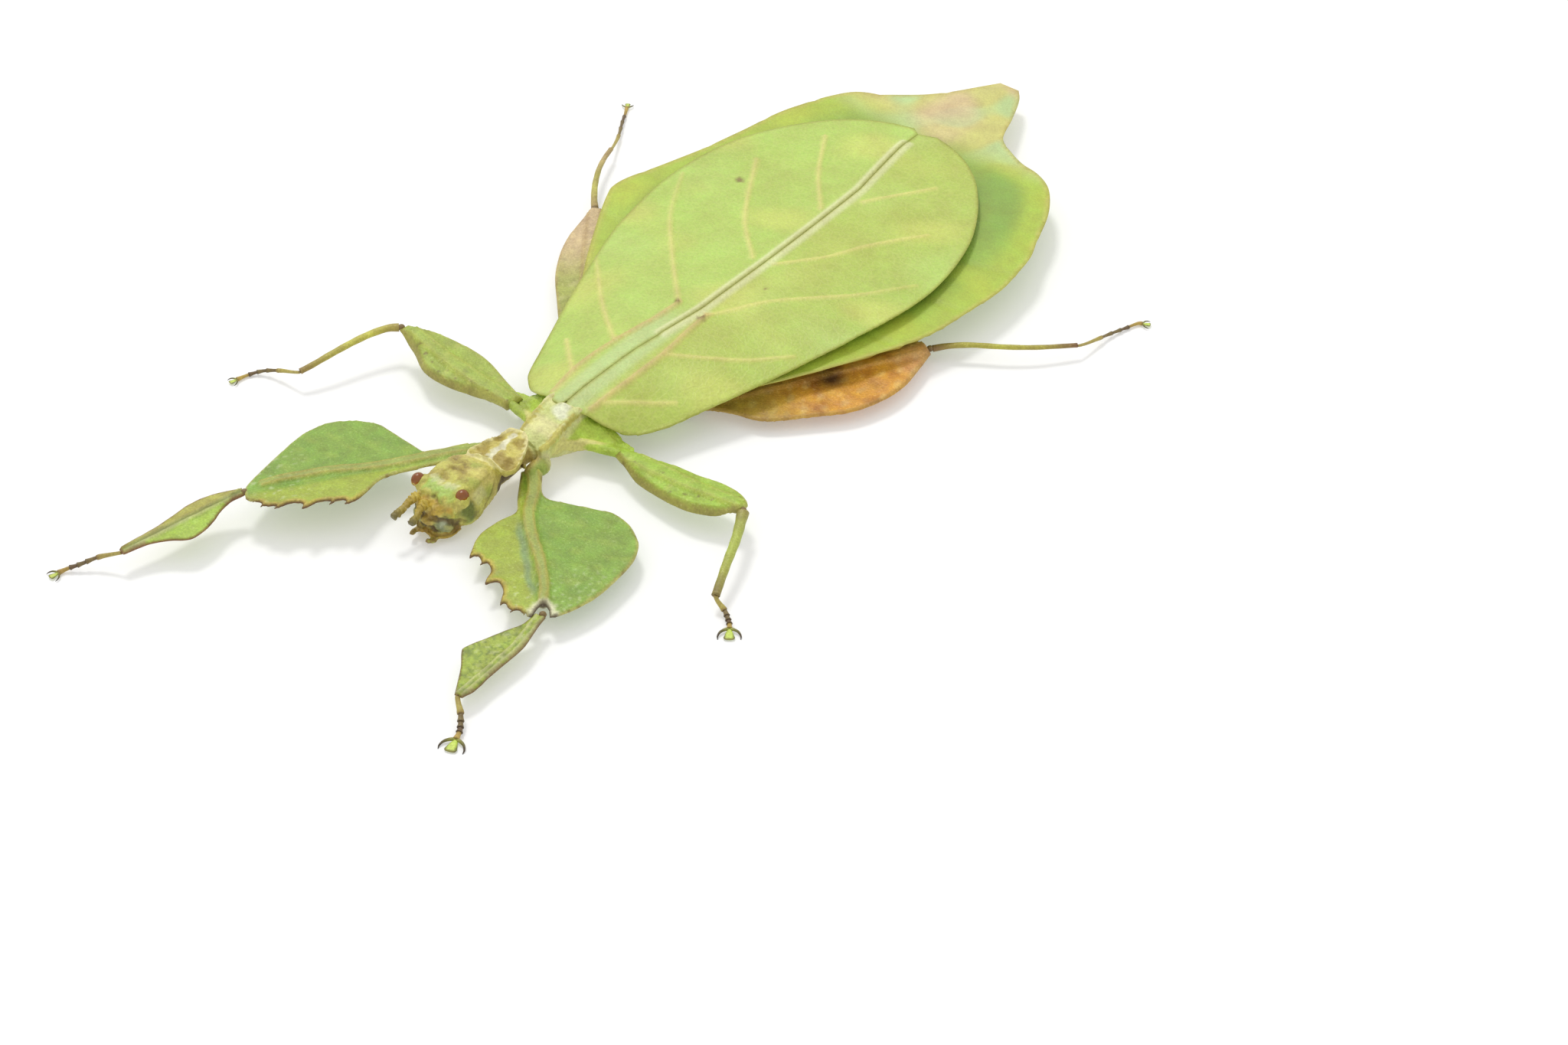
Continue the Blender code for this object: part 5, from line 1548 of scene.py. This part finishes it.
def painted_pronotum(tints, points):
    """Tan with painted shade in its pits, a whitish furrow and a pale rim, and painted shade in the hollow
    under its left edge.
    """
    rim = raised_to(4.75, smooth(PRONOTUM_RING + PRONOTUM_RING[:1], 4))
    shield = step_up(points[:, 2], 3.3, 3.9) * step_down(points[:, 1], -5.0, -4.7)
    shield = shield * step_up(points[:, 1], -10.1, -9.8)
    tints = mixed(tints, "#CBBE60", shield)
    # Painted shade: brown in the pits.
    for pit in PITS:
        tints = daub(tints, points, raised_to(4.2, [pit]), 0.85, "#A08A34", 0.75)
    tints = daub(tints, points, raised_to(4.3, FURROW), 0.42, "#E6E3C6", 0.9)
    tints = daub(tints, points, rim, 0.5, "#E6DD9C", 0.95)
    # Painted shade: near-black brown in the hollow under the shield's left edge.
    return daub(tints, points, NECK_SHADE_PLACES, 1.1, "#4B3616", 0.9)


# Spots and lines of colour on each side of the head: their places, radius, tint and weight
HEAD_DAUBS = (
    ([(0.85, -14.6, 4.3)], 0.95, "#A9C860", 0.8),
    ([(0.4, -14.0, 4.5), (1.2, -13.9, 4.5)], 0.45, "#D9DAA8", 0.5),
    ([(0.75, -15.9, 3.2)], 0.95, "#BFA23A", 1.0),
    ([(1.4, -15.2, 3.0)], 0.7, "#C9AA40", 1.0),
    ([(2.45, -13.9, 2.6)], 1.05, "#5E6A24", 0.85),
    ([(2.3, -12.4, 3.4)], 0.9, "#D6D69C", 0.45),
    ([JAW_CENTRE], 1.0, "#7B8560", 0.95),
)


def painted_head(tints, points):
    """A tan and green head with an amber face and grey jaws, with painted shade along the creases on top and
    in the groove round each jaw, and a painted highlight high on each jaw.
    """
    head = step_down(points[:, 1], -10.2, -9.8)
    tints = mixed(tints, "#C2BC58", head)
    tints = mixed(tints, "#CFC06A", head * 0.8 * step_up(waves(points, 1.8, 77), -0.1, 0.7))
    tints = mixed(tints, "#A2AE44", head * 0.8 * step_up(waves(points, 1.4, 78), 0.1, 0.8))
    # Painted shade along the creases on top of the head.
    for crease in HEAD_TOP_CREASES:
        tints = daub(tints, points, smooth(crease, 4), 0.62, "#A08A3A", 0.6)
    for side in (1, -1):
        for places, radius, colour, weight in HEAD_DAUBS:
            line = [head_place(side, place) for place in places]
            tints = daub(tints, points, line, radius, colour, weight)
        # Painted shade in the groove round each jaw.
        tints = daub(tints, points, jaw_ring(side), 0.42, "#3E3519", 0.95)
        # Painted highlight: a pale spot on the upper part of each jaw.
        tints = daub(tints, points, [head_place(side, JAW_CENTRE) + UP * 0.2], 0.6, "#B5BC98", 0.85)
        tints = daub(tints, points, head_line(side, LIP, 4), 0.42, "#A6882E")
        tints = daub(tints, points, head_line(side, PALP, 4)[5:], 0.4, "#8C7430")
    return daub(tints, points, [LABRUM[:3]], 0.85, "#AE943C")


def body():
    """Head, neck shield, thorax and leg roots as one skin."""
    points, faces = grown_together(head_shapes() + chest_shapes() + hip_shapes(), SKIN_VOXEL)
    points, height = sculpted(points, faces)
    points[:, 2] = np.maximum(points[:, 2], 0.0)
    return points, faces, body_tints(points, height)


def eye(side_name):
    """A ball a little narrower from side to side, brown above and amber below."""
    points, faces = ball(EYES[side_name], (EYE_RADIUS * 0.9, EYE_RADIUS, EYE_RADIUS), sides=40, rings=24)
    low = step_down(points[:, 2] - EYES[side_name][2], -0.3, 0.3)
    tints = mixed(even(points, "#84480C"), "#B87200", low)
    return points, faces, tints


# The middle line of each feeler, from the face outward
ANTENNAE = {
    "left": ((-1.3, -15.8, 3.3), (-1.3, -16.6, 3.15), (-1.1, -17.3, 2.85), (-1.0, -18.1, 2.65)),
    "right": ((-2.3, -15.7, 3.45), (-2.45, -16.5, 3.4), (-2.4, -17.4, 3.2), (-2.55, -18.6, 2.9)),
}
ANTENNA_RADIUS = 0.34
# How stout each feeler segment is, and how its half width changes along it: share of its length, share of it
ANTENNA_GIRTHS = (1.5, 1.2, 0.95, 0.9, 0.85, 0.9, 1.05, 1.0)
ANTENNA_FLARE = ((0.02, 0.88), (0.2, 0.94), (0.55, 1.0), (0.85, 1.0), (0.97, 0.9))
ANTENNA_TINTS = ("#C2A840", "#B49C38", "#A4923A", "#6C622E")


def antenna(side_name):
    """A short feeler of stubby beads with a grainy surface."""
    path = smooth(ANTENNAE[side_name], 8)
    rows = []
    for segment, girth in enumerate(ANTENNA_GIRTHS):
        for share, width in ANTENNA_FLARE:
            radius = ANTENNA_RADIUS * width * girth
            rows.append((*point_at(path, (segment + share) / len(ANTENNA_GIRTHS)), radius, radius))
    points, faces, tints = tube(rows, 24, ANTENNA_TINTS)
    middle = path[np.argmin(np.linalg.norm(points[:, None] - path, axis=2), axis=1)]
    out = points - middle
    out /= np.linalg.norm(out, axis=1)[:, None].clip(0.05)
    return points + out * 0.12 * (granules(points, 0.26)[:, None] - 0.5), faces, tints


# Camera, floor and light

VIEW_AZIMUTH = math.radians(37.7)
VIEW_ELEVATION = math.radians(38.4)
VIEW_DISTANCE = 364.0
VIEW_AIM = np.array([21.2, 3.55, 0.0])
LENS_MM = 100.0
SENSOR_WIDTH_MM = 36.0
NEAREST_SEEN_M = 0.01
FLOOR_HALF_M = 3.0
FLOOR_GLOW = 0.24
ROOM_STRENGTH = 0.85
# The window light, in metres and watts
WINDOW_PLACE = (-0.45, 0.28, 0.9)
WINDOW_AIM = (0, 0.01, 0)
WINDOW_WIDTH = 0.25
WINDOW_WATTS = 3.8


def add_camera():
    """A camera with a long lens, at the photo's angle."""
    back = np.array([
        math.sin(VIEW_AZIMUTH) * math.cos(VIEW_ELEVATION),
        -math.cos(VIEW_AZIMUTH) * math.cos(VIEW_ELEVATION),
        math.sin(VIEW_ELEVATION),
    ])
    right = np.array([math.cos(VIEW_AZIMUTH), math.sin(VIEW_AZIMUTH), 0.0])
    upward = np.cross(back, right)
    data = bpy.data.cameras.new("camera")
    data.lens = LENS_MM
    data.sensor_width = SENSOR_WIDTH_MM
    data.clip_start = NEAREST_SEEN_M
    camera = bpy.data.objects.new("camera", data)
    bpy.context.scene.collection.objects.link(camera)
    place = Matrix(np.column_stack([right, upward, back]).tolist()).to_4x4()
    place.translation = Vector(((VIEW_AIM + back * VIEW_DISTANCE) * MM).tolist())
    camera.matrix_world = place
    bpy.context.scene.camera = camera


def add_floor():
    """Matt white card lit a little from below, as on a light table, so that its shadows are pale."""
    material = bpy.data.materials.new("white_card")
    material.use_nodes = True
    shader = material.node_tree.nodes["Principled BSDF"]
    shader.inputs["Base Color"].default_value = (*linear("#E2E2E2"), 1)
    shader.inputs["Roughness"].default_value = 0.9
    shader.inputs["Specular IOR Level"].default_value = 0.1
    shader.inputs["Emission Color"].default_value = (*linear("#FFFFFD"), 1)
    shader.inputs["Emission Strength"].default_value = FLOOR_GLOW
    mesh = bpy.data.meshes.new("floor")
    half = FLOOR_HALF_M
    corners = [(-half, -half, 0), (half, -half, 0), (half, half, 0), (-half, half, 0)]
    mesh.from_pydata(corners, [], [(0, 1, 2, 3)])
    mesh.materials.append(material)
    floor = bpy.data.objects.new("floor", mesh)
    bpy.context.scene.collection.objects.link(floor)


def add_window():
    """One small round lamp high on the insect's right, whose soft shadows fall towards the camera."""
    data = bpy.data.lights.new("window", "AREA")
    data.shape = "DISK"
    data.size = WINDOW_WIDTH
    data.energy = WINDOW_WATTS
    data.color = linear("#FFFEFC")
    lamp = bpy.data.objects.new("window", data)
    lamp.location = WINDOW_PLACE
    lamp.rotation_euler = (Vector(WINDOW_AIM) - Vector(WINDOW_PLACE)).to_track_quat("-Z", "Y").to_euler()
    bpy.context.scene.collection.objects.link(lamp)


def add_room():
    """Even white light from all round, with colours shown as they are."""
    world = bpy.data.worlds.new("soft_room")
    world.use_nodes = True
    background = world.node_tree.nodes["Background"]
    background.inputs["Color"].default_value = (*linear("#FFFFFF"), 1)
    background.inputs["Strength"].default_value = ROOM_STRENGTH
    bpy.context.scene.world = world
    bpy.context.scene.view_settings.view_transform = "Standard"
    bpy.context.scene.view_settings.look = "None"


def build():
    """Makes the five finishes, then every visible piece, then what stands round it."""
    # The real pits are about 0.1 mm apart, too fine to show, so all but the eyes' are drawn twice as coarse
    # Dried wing cover: leathery chitin, satin, with a net of fine veins
    wing_cuticle = cuticle("leathery_wing_cuticle", 0.25, 3.0, 0.5, 0.04, cells=0.7)
    # Side lobes of the abdomen: thin dried chitin, satin, faintly clouded
    leaf_cuticle = cuticle("thin_leaf_cuticle", 0.2, 2.0, 0.5, 0.05)
    # Legs and feelers: hard stippled chitin, so speckles and small pale scales catch the light
    limb_cuticle = cuticle("stippled_limb_cuticle", 0.2, 1.4, 0.48, 0.07, contrast=1.6, flecks=0.16)
    # Head and thorax: wrinkled granular chitin, duller than the wings
    body_cuticle = cuticle("wrinkled_body_cuticle", 0.22, 1.0, 0.5, 0.1, contrast=1.4, flecks=0.12)
    # Eyes: smooth clear cuticle over brown pigment, the one glossy part
    eye_cuticle = cuticle("glossy_eye_cuticle", 0.06, 0.5, 0.22, 0.01)
    for side, name in ((1, "left"), (-1, "right")):
        wing_node, eye_node, antenna_node = "wing_" + name, "eye_" + name, "antenna_" + name
        piece(wing_node + "_skin", wing(side), wing_cuticle, [wing_node])
        piece(eye_node + "_lens", eye(name), eye_cuticle, [eye_node])
        piece(antenna_node + "_skin", antenna(name), limb_cuticle, [antenna_node])
    piece("abdomen_skin", abdomen(), leaf_cuticle, ["abdomen"])
    piece("body_skin", body(), body_cuticle, ["head", "pronotum", "thorax"])
    for leg in LEGS:
        name = leg["name"]
        piece(name + "_femur_skin", femur(leg), limb_cuticle, [name + "_femur"])
        piece(name + "_tibia_skin", lower_leg(leg), limb_cuticle, [name + "_tibia"])
        piece(name + "_foot_skin", foot(leg), limb_cuticle, [name + "_tarsus"])
    add_camera()
    add_floor()
    add_window()
    add_room()


build()
